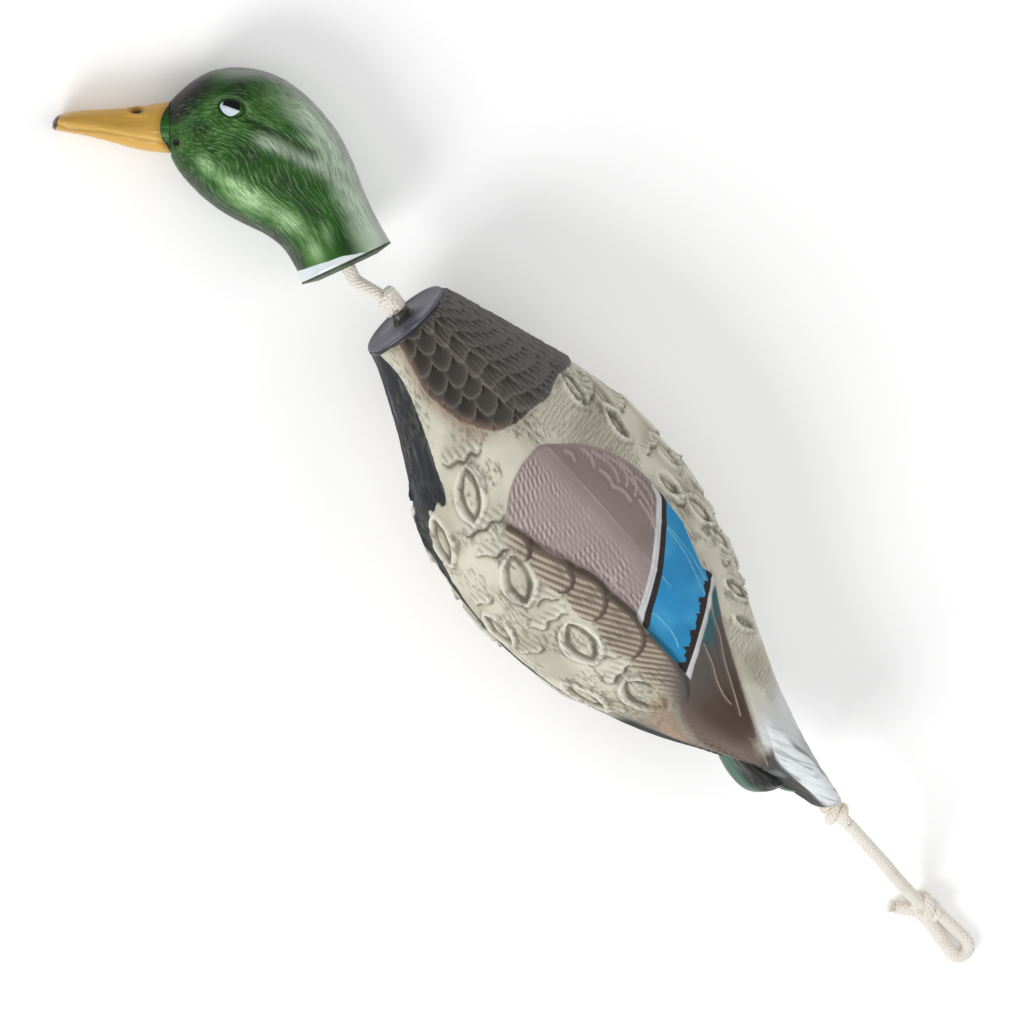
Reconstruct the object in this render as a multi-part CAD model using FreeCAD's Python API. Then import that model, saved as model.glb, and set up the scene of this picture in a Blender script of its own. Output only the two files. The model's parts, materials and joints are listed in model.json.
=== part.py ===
import FreeCAD, Part
import math
import os

# Duck decoy for retriever training: a foam body with a rope right through it and a hard head
# that hangs on the rope. It lies on its left side. Millimetres, +X from the tail towards the
# head, +Y towards the duck's back, +Z up. The origin is the middle of the flat under the body.

V = FreeCAD.Vector

# ---- body: overall sizes -------------------------------------------------------------------
BODY_LENGTH = 305.0      # tail end to the face of the neck disc
BODY_DEPTH = 118.0       # back to belly at the deepest section
BODY_WIDTH = 100.0       # left side to right side
BODY_TILT = 1.0          # degrees that the neck end lies higher than the tail
BODY_ROLL = 12.0         # degrees that the back lies higher than the belly
NECK_DIAMETER = 42.0     # the round end that the disc closes
TAIL_WIDTH = 34.0        # the flat end of the tail
TAIL_DEPTH = 11.0
REST_FLAT_DEPTH = 0.9    # how far the foam is pressed flat where it lies

# ---- rope ----------------------------------------------------------------------------------
ROPE = 6.2               # diameter of the cotton rope
ROPE_CLEARANCE = 0.3     # radial, in the tail and head holes

# ---- parts in the body ---------------------------------------------------------------------
DISC_THICKNESS = 1.6
TUBE_CLEARANCE = 0.5     # radial, rope in the tube
TUBE_WALL = 0.9
TUBE_BORE = ROPE + 2.0 * TUBE_CLEARANCE
TUBE_OUTER = TUBE_BORE + 2.0 * TUBE_WALL
TUBE_PROUD = 4.5         # tube standing out of the neck disc
TUBE_TAIL_GAP = 12.0     # the tube stops this far short of the tail end
CURL_HEIGHT = 24.5       # curled tail feathers, above the rope's line
CURL_THICKNESS = 12.0

# ---- knots and gaps ------------------------------------------------------------------------
FRONT_KNOT = 11.6        # diameters of the knots
TAIL_KNOT = 12.8
LOOP_KNOT = 13.0
HEAD_KNOT = 13.0
TAIL_KNOT_LENGTH = 18.0
LOOP_KNOT_LENGTH = 17.0
PIECE_GAP = 0.3          # between pieces that turn or bend against each other

# ---- head ----------------------------------------------------------------------------------
HEAD_HEIGHT = 100.0      # base of the neck to the crown
HEAD_WIDTH = 45.0        # cheek to cheek
HEAD_BASE_DEPTH = 43.0   # nape to throat at the base
HEAD_BASE_WIDTH = 39.0
HEAD_WALL = 2.5
HEAD_YAW = -16.6         # degrees: how the head lies
HEAD_DROP = 11.0
HEAD_ROLL = -5.0
HEAD_REACH = 33.5        # neck disc to the middle of the head's base, level
HEAD_ASIDE = 2.9
CAP_PLUG = 4.0           # base cap: the part inside the shell
CAP_RIM = 1.0            # its straight rim
CAP_DOME = 1.4           # its low dome
CAP_FIT = 0.1            # radial gap between cap and shell, filled by the glue
CAP_TAPER = 0.9          # the plug is this much slimmer at its inner end
BEND_OUTSIDE = 9.0       # the rope bends this far outside the head's base

# ---- bill and eyes -------------------------------------------------------------------------
BILL_LENGTH = 51.5
BILL_ROOT_WIDTH = 23.0
BILL_TIP_WIDTH = 23.0    # the widest place near the tip
EYE_DIAMETER = 11.5
EYE_PROUD = 0.9
EYE_SEAT = 1.8           # how deep the eye sits in the wall

# Body sections from tail to neck, as fractions: along the length, middle towards the back,
# depth and width of the largest section.
BODY_SECTIONS = (
    (0.07, 0.008, 0.140, 0.44),
    (0.17, 0.026, 0.310, 0.52),
    (0.25, 0.055, 0.520, 0.66),
    (0.33, 0.062, 0.690, 0.81),
    (0.43, 0.061, 0.900, 0.95),
    (0.55, 0.058, 1.000, 1.00),
    (0.66, 0.055, 0.985, 0.99),
    (0.75, 0.045, 0.900, 0.92),
    (0.83, 0.022, 0.705, 0.77),
    (0.92, -0.002, 0.505, 0.59),
)

# Head sections as fractions of the head's height: the nape or crown end of each section (up,
# forward), its throat end (up, forward), and the fraction of the head's width.
HEAD_SECTIONS = (
    (0.13, -0.198, 0.12, 0.200, 0.84),
    (0.29, -0.205, 0.24, 0.240, 0.87),
    (0.47, -0.224, 0.38, 0.375, 0.97),
    (0.67, -0.180, 0.53, 0.455, 1.00),
    (0.785, -0.130, 0.62, 0.483, 0.99),
    (0.885, -0.060, 0.68, 0.495, 0.96),
    (0.965, 0.050, 0.715, 0.498, 0.90),
    (1.010, 0.170, 0.738, 0.497, 0.80),
    (1.000, 0.290, 0.748, 0.493, 0.66),
)
BILL_ROOT = (0.955, 0.398, 0.752, 0.487)

# Bill sections: along the bill from its root, middle above the root-to-tip line, height, all as
# fractions of the bill's length, then the width as a fraction of the root and tip widths' mix.
BILL_SECTIONS = (
    (0.19, -0.018, 0.386, 0.86),
    (0.43, -0.010, 0.290, 0.76),
    (0.68, 0.016, 0.220, 0.88),
    (0.87, 0.021, 0.171, 1.00),
    (0.96, 0.017, 0.122, 0.84),
)
BILL_RISE = 26.5         # degrees from square to the neck's line
EYE_UP = 0.81            # eye centre, as fractions of the head's height
EYE_FORWARD = 0.163

# Throw rope, from the tail end: millimetres along and across from there, and how far the
# rope's underside is above the floor, as a fraction of the tail end's height.
THROW_ROUTE = (
    (-18.0, -1.0, 0.9801),
    (-34.0, -1.2, 0.9443),
    (-50.0, -1.6, 0.7944),
    (-64.0, -1.4, 0.5482),
    (-77.0, -1.8, 0.2976),
    (-89.5, -2.4, 0.1186),
)
# The loop and the cut end lie beyond the loop knot: millimetres along, across, and from the
# floor up to the rope's underside.
LOOP_ROUTE = (
    (-101.0, -6.1, 1.5),
    (-115.0, -6.9, 0.2),
    (-129.8, -8.3, 0.1),
    (-130.2, 2.5, 0.1),
    (-115.0, 0.8, 0.2),
    (-101.0, 0.1, 1.5),
)
END_ROUTE = (
    (-93.5, 2.0, 2.3),
    (-86.5, 7.6, 0.5),
)
LOOP_KNOT_PLACE = (-96.0, -2.8, 3.5)


def oval(middle, half_a, half_b, count=12):
    """Corners of the net that draws a smooth oval with half axes half_a and half_b."""
    reach = 3.0 / (2.0 + math.cos(2.0 * math.pi / count))
    corners = []
    for step in range(count):
        turn = 2.0 * math.pi * step / count
        corners.append(middle + (half_a * math.cos(turn) + half_b * math.sin(turn)) * reach)
    return corners


def skin(ovals):
    """Closed solid with one smooth surface over a row of ovals and a flat face at each end."""
    count = len(ovals)
    spans = count - 3
    degree = 3
    if spans < 1:
        spans = 1
        degree = count - 1
    along_knots = list(range(spans + 1))
    along_times = [degree + 1] + [1] * (spans - 1) + [degree + 1]
    around_knots = list(range(len(ovals[0]) + 1))
    around_times = [1] * len(around_knots)
    surface = Part.BSplineSurface()
    surface.buildFromPolesMultsKnots(ovals, along_times, around_times, along_knots, around_knots,
                                     False, True, degree, 3)
    side = surface.toShape()
    rings = [edge for edge in side.Edges if edge.isClosed()]
    ends = [Part.Face(Part.Wire([ring])) for ring in rings]
    solid = Part.Solid(Part.Shell([side] + ends))
    solid.fix(1e-4, 1e-4, 1e-3)
    if solid.Volume < 0:
        solid.reverse()
    return solid


def rod(start, end, radius):
    """Round bar between two points."""
    return Part.makeCylinder(radius, (end - start).Length, start, end - start)


def knot(middle, along, diameter, length):
    """Barrel with round ends in place of a tied knot, longest along the given direction."""
    step = V(along)
    step.normalize()
    barrel = rod(middle - step * (length / 2.0), middle + step * (length / 2.0), diameter / 2.0)
    rims = [edge for edge in barrel.Edges if edge.Curve.TypeId == "Part::GeomCircle"]
    return barrel.makeFillet(0.42 * diameter, rims)


def route_wire(points):
    """Straight runs joined by tangent arcs, each as large as its two runs allow."""
    edges = []
    radii = []
    start = points[0]
    for before, corner, after in zip(points, points[1:], points[2:]):
        into = corner - before
        out = after - corner
        half_turn = into.getAngle(out) / 2.0
        shorter = min(into.Length, out.Length)
        into.normalize()
        out.normalize()
        first = corner - into * (0.45 * shorter)
        last = corner + out * (0.45 * shorter)
        inward = out - into
        inward.normalize()
        radius = 0.45 * shorter / math.tan(half_turn)
        centre = corner + inward * (radius / math.cos(half_turn))
        middle = centre - inward * radius
        edges.append(Part.LineSegment(start, first).toShape())
        edges.append(Part.Arc(first, middle, last).toShape())
        radii.append(radius)
        start = last
    edges.append(Part.LineSegment(start, points[-1]).toShape())
    return Part.Wire(edges), radii


def rope_tube(name, points):
    """Rope along a route, with its bend radii and its volume against section times length."""
    path, radii = route_wire(points)
    ring = Part.Wire([Part.Circle(points[0], points[1] - points[0], ROPE / 2.0).toShape()])
    tube = path.makePipeShell([ring], True, False)
    expected = path.Length * math.pi * ROPE ** 2 / 4.0
    print(name, "length %.1f" % path.Length, "radii", ["%.1f" % r for r in radii],
          "volume ratio %.4f" % (tube.Volume / expected))
    return tube


# ---- body ----------------------------------------------------------------------------------
def body_section(along, offset, depth, width):
    middle = V(along, offset, 0)
    return oval(middle, V(0, depth / 2.0, 0), V(0, 0, width / 2.0))


def foam_length():
    return BODY_LENGTH - DISC_THICKNESS


def foam_outside():
    """Foam body before any hole, tail end at x = 0 on the rope's line."""
    ovals = [body_section(0.0, 0.0, TAIL_DEPTH, TAIL_WIDTH)]
    for along, offset, depth, width in BODY_SECTIONS:
        ovals.append(body_section(along * foam_length(), offset * BODY_DEPTH,
                                  depth * BODY_DEPTH, width * BODY_WIDTH))
    ovals.append(body_section(foam_length(), 0.0, NECK_DIAMETER, NECK_DIAMETER))
    return skin(ovals).fuse(tail_curl()).removeSplitter()


def tail_curl():
    """Curled feathers that stand on the back of the tail, moulded with the foam."""
    length = foam_length()
    outline = [V(0.060 * length, 0.10 * CURL_HEIGHT, 0),
               V(0.058 * length, 0.62 * CURL_HEIGHT, 0),
               V(0.095 * length, CURL_HEIGHT, 0),
               V(0.150 * length, 0.90 * CURL_HEIGHT, 0),
               V(0.215 * length, 1.00 * CURL_HEIGHT, 0),
               V(0.230 * length, 0.10 * CURL_HEIGHT, 0)]
    curve = Part.BSplineCurve()
    curve.interpolate(Points=outline, PeriodicFlag=True)
    face = Part.Face(Part.Wire([curve.toShape()]))
    face.translate(V(0, 0, -CURL_THICKNESS / 2.0))
    return face.extrude(V(0, 0, CURL_THICKNESS))


def body_placement(outside):
    """Turns the body to its lying tilt and sets the flat's middle on the origin."""
    turn = FreeCAD.Rotation(V(0, 1, 0), -BODY_TILT)
    turn = turn.multiply(FreeCAD.Rotation(V(1, 0, 0), BODY_ROLL))
    tilted = outside.copy()
    tilted.Placement = FreeCAD.Placement(V(0, 0, 0), turn)
    box = tilted.optimalBoundingBox()
    lift = -box.ZMin - REST_FLAT_DEPTH
    tilted.translate(V(0, 0, lift))
    flat = tilted.common(below_floor())
    patch = max(flat.Faces, key=lambda face: face.CenterOfMass.z)
    return FreeCAD.Placement(V(-patch.CenterOfMass.x, -patch.CenterOfMass.y, lift), turn)


def below_floor():
    size = 3.0 * BODY_LENGTH
    return Part.makeBox(size, size, size, V(-size / 2.0, -size / 2.0, -size))


def body_parts():
    """Foam, disc, tube and the rope inside them, in the lying frame, by name."""
    outside = foam_outside()
    place = body_placement(outside)
    tail_end = V(0, 0, 0)
    disc_back = V(foam_length(), 0, 0)
    disc_front = V(BODY_LENGTH, 0, 0)
    tube_start = V(TUBE_TAIL_GAP, 0, 0)
    tube_end = V(BODY_LENGTH + TUBE_PROUD, 0, 0)
    tube_solid = rod(tube_start, tube_end, TUBE_OUTER / 2.0)
    tube_bore = rod(tube_start - V(1, 0, 0), tube_end + V(1, 0, 0), TUBE_BORE / 2.0)
    rope_hole = rod(V(-5, 0, 0), tube_start + V(1, 0, 0), ROPE / 2.0 + ROPE_CLEARANCE)
    foam = outside.cut(tube_solid).cut(rope_hole)
    disc = rod(disc_back, disc_front, NECK_DIAMETER / 2.0).cut(tube_solid)
    rope = rod(tail_end - V(PIECE_GAP, 0, 0), tube_end, ROPE / 2.0)
    parts = {
        "body_foam": foam,
        "neck_disc": disc,
        "core_tube": tube_solid.cut(tube_bore),
        "core_rope": rope,
    }
    for shape in parts.values():
        shape.Placement = place.multiply(shape.Placement)
    parts["body_foam"] = parts["body_foam"].cut(below_floor())
    return parts, place


# ---- knots and the throw rope --------------------------------------------------------------
def tail_knot(place, throw_rope):
    """Knot that stops the rope at the tail; the rope runs out of its far end."""
    half = TAIL_KNOT_LENGTH / 2.0
    middle = place.multVec(V(-half, 0, 0))
    along = place.Rotation.multVec(V(1, 0, 0))
    solid = knot(middle, along, TAIL_KNOT, TAIL_KNOT_LENGTH)
    behind_tail = Part.makeBox(100, 100, 100, V(-100 - PIECE_GAP, -50, -50))
    behind_tail.Placement = place.multiply(behind_tail.Placement)
    return solid.common(behind_tail).cut(throw_rope)


def throw_parts(place):
    tail = place.multVec(V(0, 0, 0))

    def placed(route, unit=1.0):
        return [V(tail.x + along, tail.y + across, ROPE / 2.0 + up * unit)
                for along, across, up in route]

    throw_route = placed(THROW_ROUTE, tail.z)
    rope = rope_tube("throw_rope", throw_route)
    loop = rope_tube("throw_loop", placed(LOOP_ROUTE))
    end_start, end_tip = placed(END_ROUTE)
    end = rod(end_start, end_tip, ROPE / 2.0)
    middle = placed([LOOP_KNOT_PLACE])[0]
    along = middle - throw_route[-2]
    along.z = 0
    solid = knot(middle, along, LOOP_KNOT, LOOP_KNOT_LENGTH)
    return {
        "tail_knot": tail_knot(place, rope),
        "throw_rope": rope,
        "loop_knot": solid.cut(rope).cut(loop).cut(end),
        "throw_loop": loop,
        "rope_end": end,
    }


# ---- head, in its own frame: x up the neck, y towards the bill, z to the duck's left ---------
def chord_oval(top, bottom, half_width, shrink=0.0):
    """Oval section between two points of the head's outline."""
    half = (top - bottom) * 0.5
    middle = (top + bottom) * 0.5
    length = half.Length - shrink
    half.normalize()
    return oval(middle, half * length, V(0, 0, half_width - shrink))


def head_ovals(shrink, count):
    deep = HEAD_BASE_DEPTH / 2.0
    ovals = [chord_oval(V(0, -deep, 0), V(0, deep, 0), HEAD_BASE_WIDTH / 2.0, shrink)]
    for up_a, out_a, up_b, out_b, width in HEAD_SECTIONS[:count]:
        top = V(up_a, out_a, 0) * HEAD_HEIGHT
        bottom = V(up_b, out_b, 0) * HEAD_HEIGHT
        ovals.append(chord_oval(top, bottom, width * HEAD_WIDTH / 2.0, shrink))
    return ovals


def bill_root_oval():
    top, bottom = bill_root_points()
    return chord_oval(top, bottom, BILL_ROOT_WIDTH / 2.0)


def bill_root_points():
    up_a, out_a, up_b, out_b = BILL_ROOT
    return V(up_a, out_a, 0) * HEAD_HEIGHT, V(up_b, out_b, 0) * HEAD_HEIGHT


def head_outside():
    return skin(head_ovals(0.0, len(HEAD_SECTIONS)) + [bill_root_oval()])


def head_shell(outside, eyes):
    """Hollow head, open at its base and closed where the bill is bonded on."""
    inside = skin(head_ovals(HEAD_WALL, len(HEAD_SECTIONS) - 1))
    shell = outside.cut(inside)
    for eye in eyes:
        shell = shell.cut(eye)
    return shell


def bill():
    """Bill from its bonded root face to the rounded tip."""
    top, bottom = bill_root_points()
    root = (top + bottom) * 0.5
    rise = math.radians(BILL_RISE)
    along = V(math.sin(rise), math.cos(rise), 0)
    square = V(math.cos(rise), -math.sin(rise), 0)
    ovals = [bill_root_oval()]
    for step, lift, height, width in BILL_SECTIONS:
        middle = root + along * (step * BILL_LENGTH) + square * (lift * BILL_LENGTH)
        mix = BILL_ROOT_WIDTH + (BILL_TIP_WIDTH - BILL_ROOT_WIDTH) * step
        ovals.append(oval(middle, square * (height * BILL_LENGTH / 2.0),
                          V(0, 0, width * mix / 2.0)))
    tip = root + along * BILL_LENGTH + square * (0.02 * BILL_LENGTH)
    ovals.append(oval(tip, square * (0.03 * BILL_LENGTH), V(0, 0, 0.22 * BILL_TIP_WIDTH)))
    return skin(ovals)


def eye(side, outside):
    """Lens-shaped eye set in the head's wall; side is +1 for the left and -1 for the right."""
    at = V(EYE_UP * HEAD_HEIGHT, EYE_FORWARD * HEAD_HEIGHT, 0)
    line = Part.makeLine(at, at + V(0, 0, side * HEAD_WIDTH)).common(outside)
    surface = at + V(0, 0, side * line.Length)
    ball_radius = 1.3 * EYE_DIAMETER / 2.0
    top = ball_radius - EYE_PROUD
    ball = Part.makeSphere(ball_radius, surface - V(0, 0, side * top))
    stem = rod(surface - V(0, 0, side * EYE_SEAT), surface + V(0, 0, side * ball_radius),
               EYE_DIAMETER / 2.0)
    return ball.common(stem)


def base_cap():
    """Moulded cap glued into the head's base, with the rope's hole through it."""
    deep = HEAD_BASE_DEPTH / 2.0
    wide = HEAD_BASE_WIDTH / 2.0
    inner = HEAD_WALL + CAP_FIT

    def ring(x, shrink):
        return oval(V(x, 0, 0), V(0, deep - shrink, 0), V(0, 0, wide - shrink))

    rim = skin([ring(-CAP_RIM, 0.0), ring(0.0, 0.0)])
    dome = skin([ring(-CAP_RIM - CAP_DOME, 7.0), ring(-CAP_RIM, 0.6)])
    plug = skin([ring(0.0, inner), ring(CAP_PLUG, inner + CAP_TAPER)])
    hole = rod(V(-20, 0, 0), V(20, 0, 0), ROPE / 2.0 + ROPE_CLEARANCE)
    return rim.fuse(dome).fuse(plug).removeSplitter().cut(hole)


def head_parts():
    outside = head_outside()
    eyes = [eye(1, outside), eye(-1, outside)]
    return {
        "head_shell": head_shell(outside, eyes),
        "bill": bill(),
        "eye_left": eyes[0],
        "eye_right": eyes[1],
        "head_cap": base_cap(),
    }


def head_rope_parts():
    """Rope from the bend outside the head to the stopper knot inside it, in the head's frame."""
    bend = V(-BEND_OUTSIDE, 0, 0)
    knot_face = V(CAP_PLUG + PIECE_GAP, 0, 0)
    rope = rod(bend, knot_face, ROPE / 2.0).fuse(Part.makeSphere(ROPE / 2.0, bend))
    half = HEAD_KNOT / 2.0
    ball = Part.makeSphere(half, knot_face + V(0.9 * half, 0, 0))
    inside_head = Part.makeBox(60, 60, 60, knot_face - V(0, 30, 30))
    return {"neck_rope_upper": rope.removeSplitter(), "head_knot": ball.common(inside_head)}


def head_placement(solids, neck_face):
    """Lays the head on its cheek: turned, then lowered until its lowest point is on the floor."""
    turn = FreeCAD.Rotation(V(0, 0, 1), HEAD_YAW)
    turn = turn.multiply(FreeCAD.Rotation(V(0, 1, 0), HEAD_DROP))
    turn = turn.multiply(FreeCAD.Rotation(V(1, 0, 0), HEAD_ROLL))
    lowest = 0.0
    for solid in solids:
        trial = solid.copy()
        trial.Placement = FreeCAD.Placement(V(0, 0, 0), turn)
        low = trial.optimalBoundingBox().ZMin
        lowest = min(lowest, low)
    base = V(neck_face.x + HEAD_REACH, neck_face.y + HEAD_ASIDE, -lowest)
    return FreeCAD.Placement(base, turn)


def main():
    os.makedirs("parts", exist_ok=True)
    parts, body_place = body_parts()
    parts.update(throw_parts(body_place))

    head = head_parts()
    neck_face = body_place.multVec(V(BODY_LENGTH, 0, 0))
    head_place = head_placement([head["head_shell"], head["bill"], head["eye_right"]], neck_face)
    head.update(head_rope_parts())
    for shape in head.values():
        shape.Placement = head_place.multiply(shape.Placement)
    parts.update(head)

    knot_half = FRONT_KNOT / 2.0
    front = body_place.multVec(V(BODY_LENGTH + TUBE_PROUD + PIECE_GAP + 0.85 * knot_half, 0, 0))
    past_tube = Part.makeBox(60, 60, 60, V(BODY_LENGTH + TUBE_PROUD + PIECE_GAP, -30, -30))
    past_tube.Placement = body_place.multiply(past_tube.Placement)
    parts["front_knot"] = Part.makeSphere(knot_half, front).common(past_tube)

    bend = head_place.multVec(V(-BEND_OUTSIDE, 0, 0))
    slope = bend - front
    free = slope.Length
    slope.normalize()
    start = front + slope * (knot_half + PIECE_GAP)
    end = bend - slope * (ROPE / 2.0 + PIECE_GAP)
    parts["neck_rope_lower"] = rod(start, end, ROPE / 2.0)

    for name, shape in parts.items():
        print(name, "valid", shape.isValid(), "solids", len(shape.Solids),
              "volume %.0f" % shape.Volume)
        shape.exportStep("parts/" + name + ".step")
    up = head_place.Rotation.multVec(V(1, 0, 0))
    print("body axis", body_place.Rotation.multVec(V(1, 0, 0)), "neck face", neck_face)
    print("front knot", front, "bend", bend, "free rope %.2f" % free)
    print("head axis", up, "head base", head_place.Base)


main()
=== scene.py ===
import json
import math
import bmesh
import bpy
import numpy as np
from mathutils import Matrix, Vector


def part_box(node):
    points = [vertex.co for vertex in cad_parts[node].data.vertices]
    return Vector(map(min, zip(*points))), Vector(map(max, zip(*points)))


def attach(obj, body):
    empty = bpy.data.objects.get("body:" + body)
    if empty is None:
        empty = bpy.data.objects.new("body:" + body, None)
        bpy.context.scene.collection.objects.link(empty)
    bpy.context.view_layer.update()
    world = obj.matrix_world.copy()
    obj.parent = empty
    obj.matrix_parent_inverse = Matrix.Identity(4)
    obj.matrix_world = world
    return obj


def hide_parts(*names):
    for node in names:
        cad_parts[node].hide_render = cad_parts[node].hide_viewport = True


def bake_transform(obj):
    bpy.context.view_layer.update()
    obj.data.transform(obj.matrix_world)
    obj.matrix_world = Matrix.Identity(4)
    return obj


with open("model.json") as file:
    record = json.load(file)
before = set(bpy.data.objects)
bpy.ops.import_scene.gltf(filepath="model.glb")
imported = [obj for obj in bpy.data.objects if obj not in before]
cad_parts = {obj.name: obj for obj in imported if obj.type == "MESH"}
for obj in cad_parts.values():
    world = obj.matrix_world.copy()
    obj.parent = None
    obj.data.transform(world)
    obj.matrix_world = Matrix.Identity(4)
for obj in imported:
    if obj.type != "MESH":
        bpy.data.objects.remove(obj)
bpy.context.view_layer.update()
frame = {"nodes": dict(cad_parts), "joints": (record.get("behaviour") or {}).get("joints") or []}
joints = {joint["name"]: joint for joint in frame["joints"]}

# ---- studio camera -----------------------------------------------------------------------------
# A long lens looks down on the dummy from a little beyond its head. The dummy lies on its side with
# the bill to the upper left.
LOOK_AT = Vector((0.03095, 0.01759, 0.0487))
CAMERA_DISTANCE = 1.6
CAMERA_TILT = math.radians(17.0)
CAMERA_ROLL = math.radians(131.35)

towards_camera = Vector((math.sin(CAMERA_TILT), 0, math.cos(CAMERA_TILT)))
level_1 = Vector((math.cos(CAMERA_TILT), 0, -math.sin(CAMERA_TILT)))
level_2 = Vector((0, 1, 0))
picture_right = level_1 * math.cos(CAMERA_ROLL) - level_2 * math.sin(CAMERA_ROLL)
picture_up = level_1 * math.sin(CAMERA_ROLL) + level_2 * math.cos(CAMERA_ROLL)


def in_scene(name, data):
    """An object for a mesh, curve, light or camera, put in the scene."""
    made = bpy.data.objects.new(name, data)
    bpy.context.scene.collection.objects.link(made)
    return made


camera = in_scene("camera", bpy.data.cameras.new("camera"))
camera.data.sensor_width = 36.0
camera.data.lens = 125.3
camera.data.clip_end = 20.0
turned = Matrix((picture_right, picture_up, towards_camera)).transposed().to_4x4()
camera.matrix_world = Matrix.Translation(LOOK_AT + towards_camera * CAMERA_DISTANCE) @ turned
bpy.context.scene.camera = camera

# ---- cotton rope: throw rope -------------------------------------------------------------------
# One length of natural cotton cord, sixteen soft strands braided over a straight core. It leaves
# the tail knot, hangs down to the ground and ends in a tied loop.
MM = 0.001                       # in the frame's metres; the sizes below are in millimetres
METRE = 1000.0                   # the same the other way round
ROPE = 6.2
BODY_LENGTH = 305.0              # tail end to the neck disc's face
TUBE_PROUD = 4.5                 # rope tube standing out of the neck disc
PIECE_GAP = 0.3                  # between pieces that turn against each other
FRONT_KNOT = 11.6                # diameter
KNOT_TO_TUBE = 0.85              # of the knot's radius: it is pulled flat against the tube
rope_line = np.array(joints["knot_turn"]["axis"])
front_knot_at = np.array(joints["knot_turn"]["pos_m"]) * METRE
neck_face = front_knot_at - rope_line * (TUBE_PROUD + PIECE_GAP + KNOT_TO_TUBE * FRONT_KNOT / 2.0)
tail_end = neck_face - rope_line * BODY_LENGTH


def soft_noise(x, y, seed, size=64):
    """Smooth random heights from -1 to 1; one bump is about one unit wide."""
    grid = np.random.default_rng(seed).uniform(-1.0, 1.0, (size, size))
    x0 = np.floor(x).astype(int)
    y0 = np.floor(y).astype(int)
    fx = x - x0
    fy = y - y0
    fx = fx * fx * (3 - 2 * fx)
    fy = fy * fy * (3 - 2 * fy)
    a = grid[x0 % size, y0 % size] * (1 - fx) + grid[(x0 + 1) % size, y0 % size] * fx
    b = grid[x0 % size, (y0 + 1) % size] * (1 - fx) + grid[(x0 + 1) % size, (y0 + 1) % size] * fx
    return a * (1 - fy) + b * fy


def paint(red, green, blue):
    """Colour as seen, 0 to 255, made linear for the shader."""
    seen = np.array((red, green, blue)) / 255.0
    return np.where(seen < 0.04045, seen / 12.92, ((seen + 0.055) / 1.055) ** 2.4)


def add_node(tree, kind, inputs=(), **settings):
    """A node in a tree, with its settings made and each input linked or given its value."""
    made = tree.nodes.new(kind)
    for setting, value in settings.items():
        setattr(made, setting, value)
    for socket, value in dict(inputs).items():
        if isinstance(value, bpy.types.NodeSocket):
            tree.links.new(value, made.inputs[socket])
        else:
            made.inputs[socket].default_value = value
    return made


class Finish:
    """A material being built: nodes by short calls, so each finish below reads as a recipe."""

    def __init__(self, name, roughness, **sockets):
        self.material = bpy.data.materials.new(name)
        self.material.use_nodes = True
        self.tree = self.material.node_tree
        self.shader = self.tree.nodes["Principled BSDF"]
        self.shader.inputs["Roughness"].default_value = roughness
        for socket, value in sockets.items():
            self.shader.inputs[socket.replace("_", " ")].default_value = value

    def node(self, kind, inputs=(), **settings):
        return add_node(self.tree, "ShaderNode" + kind, inputs, **settings)

    def place(self, scale=(1, 1, 1)):
        coordinates = self.node("TexCoord").outputs["Object"]
        return self.node("Mapping", {"Vector": coordinates, "Scale": scale}).outputs["Vector"]

    def noise(self, scale, detail=3.0, stretch=(1, 1, 1)):
        inputs = {"Vector": self.place(stretch), "Scale": scale, "Detail": detail}
        return self.node("TexNoise", inputs).outputs["Fac"]

    def attribute(self, name, output="Fac"):
        return self.node("Attribute", attribute_name=name).outputs[output]

    def math(self, operation, first, second=0.0, third=0.0, clamp=False):
        inputs = {0: first, 1: second, 2: third}
        return self.node("Math", inputs, operation=operation, use_clamp=clamp).outputs[0]

    def span(self, value, low, high, to_low=0.0, to_high=1.0):
        inputs = {"Value": value, "From Min": low, "From Max": high,
                  "To Min": to_low, "To Max": to_high}
        return self.node("MapRange", inputs).outputs[0]

    def mix(self, factor, first, second, blend="MIX"):
        first, second = (value if isinstance(value, bpy.types.NodeSocket) else (*value, 1.0)
                         for value in (first, second))
        inputs = {0: factor, 6: first, 7: second}
        return self.node("Mix", inputs, data_type="RGBA", blend_type=blend).outputs[2]

    def set(self, socket, value):
        if isinstance(value, bpy.types.NodeSocket):
            self.tree.links.new(value, self.shader.inputs[socket])
        else:
            self.shader.inputs[socket].default_value = (*value, 1.0)

    def bump(self, height, distance, strength=1.0):
        inputs = {"Height": height, "Distance": distance, "Strength": strength}
        self.set("Normal", self.node("Bump", inputs).outputs["Normal"])


def cotton_finish():
    cotton = Finish("natural_cotton", 0.92, Sheen_Weight=0.25, Sheen_Roughness=0.5)
    fibres = cotton.noise(2600.0, 3.0, (0.35, 1.0, 1.0))
    soiling = cotton.span(cotton.noise(70.0, 4.0), 0.52, 0.72)
    colour = cotton.mix(fibres, paint(226, 218, 205), paint(247, 243, 236))
    colour = cotton.mix(cotton.math("MULTIPLY", soiling, 0.5), colour, paint(219, 202, 176))
    cotton.set("Base Color", colour)
    cotton.bump(fibres, 0.00012, 0.7)
    return cotton.material


cotton = cotton_finish()


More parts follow.
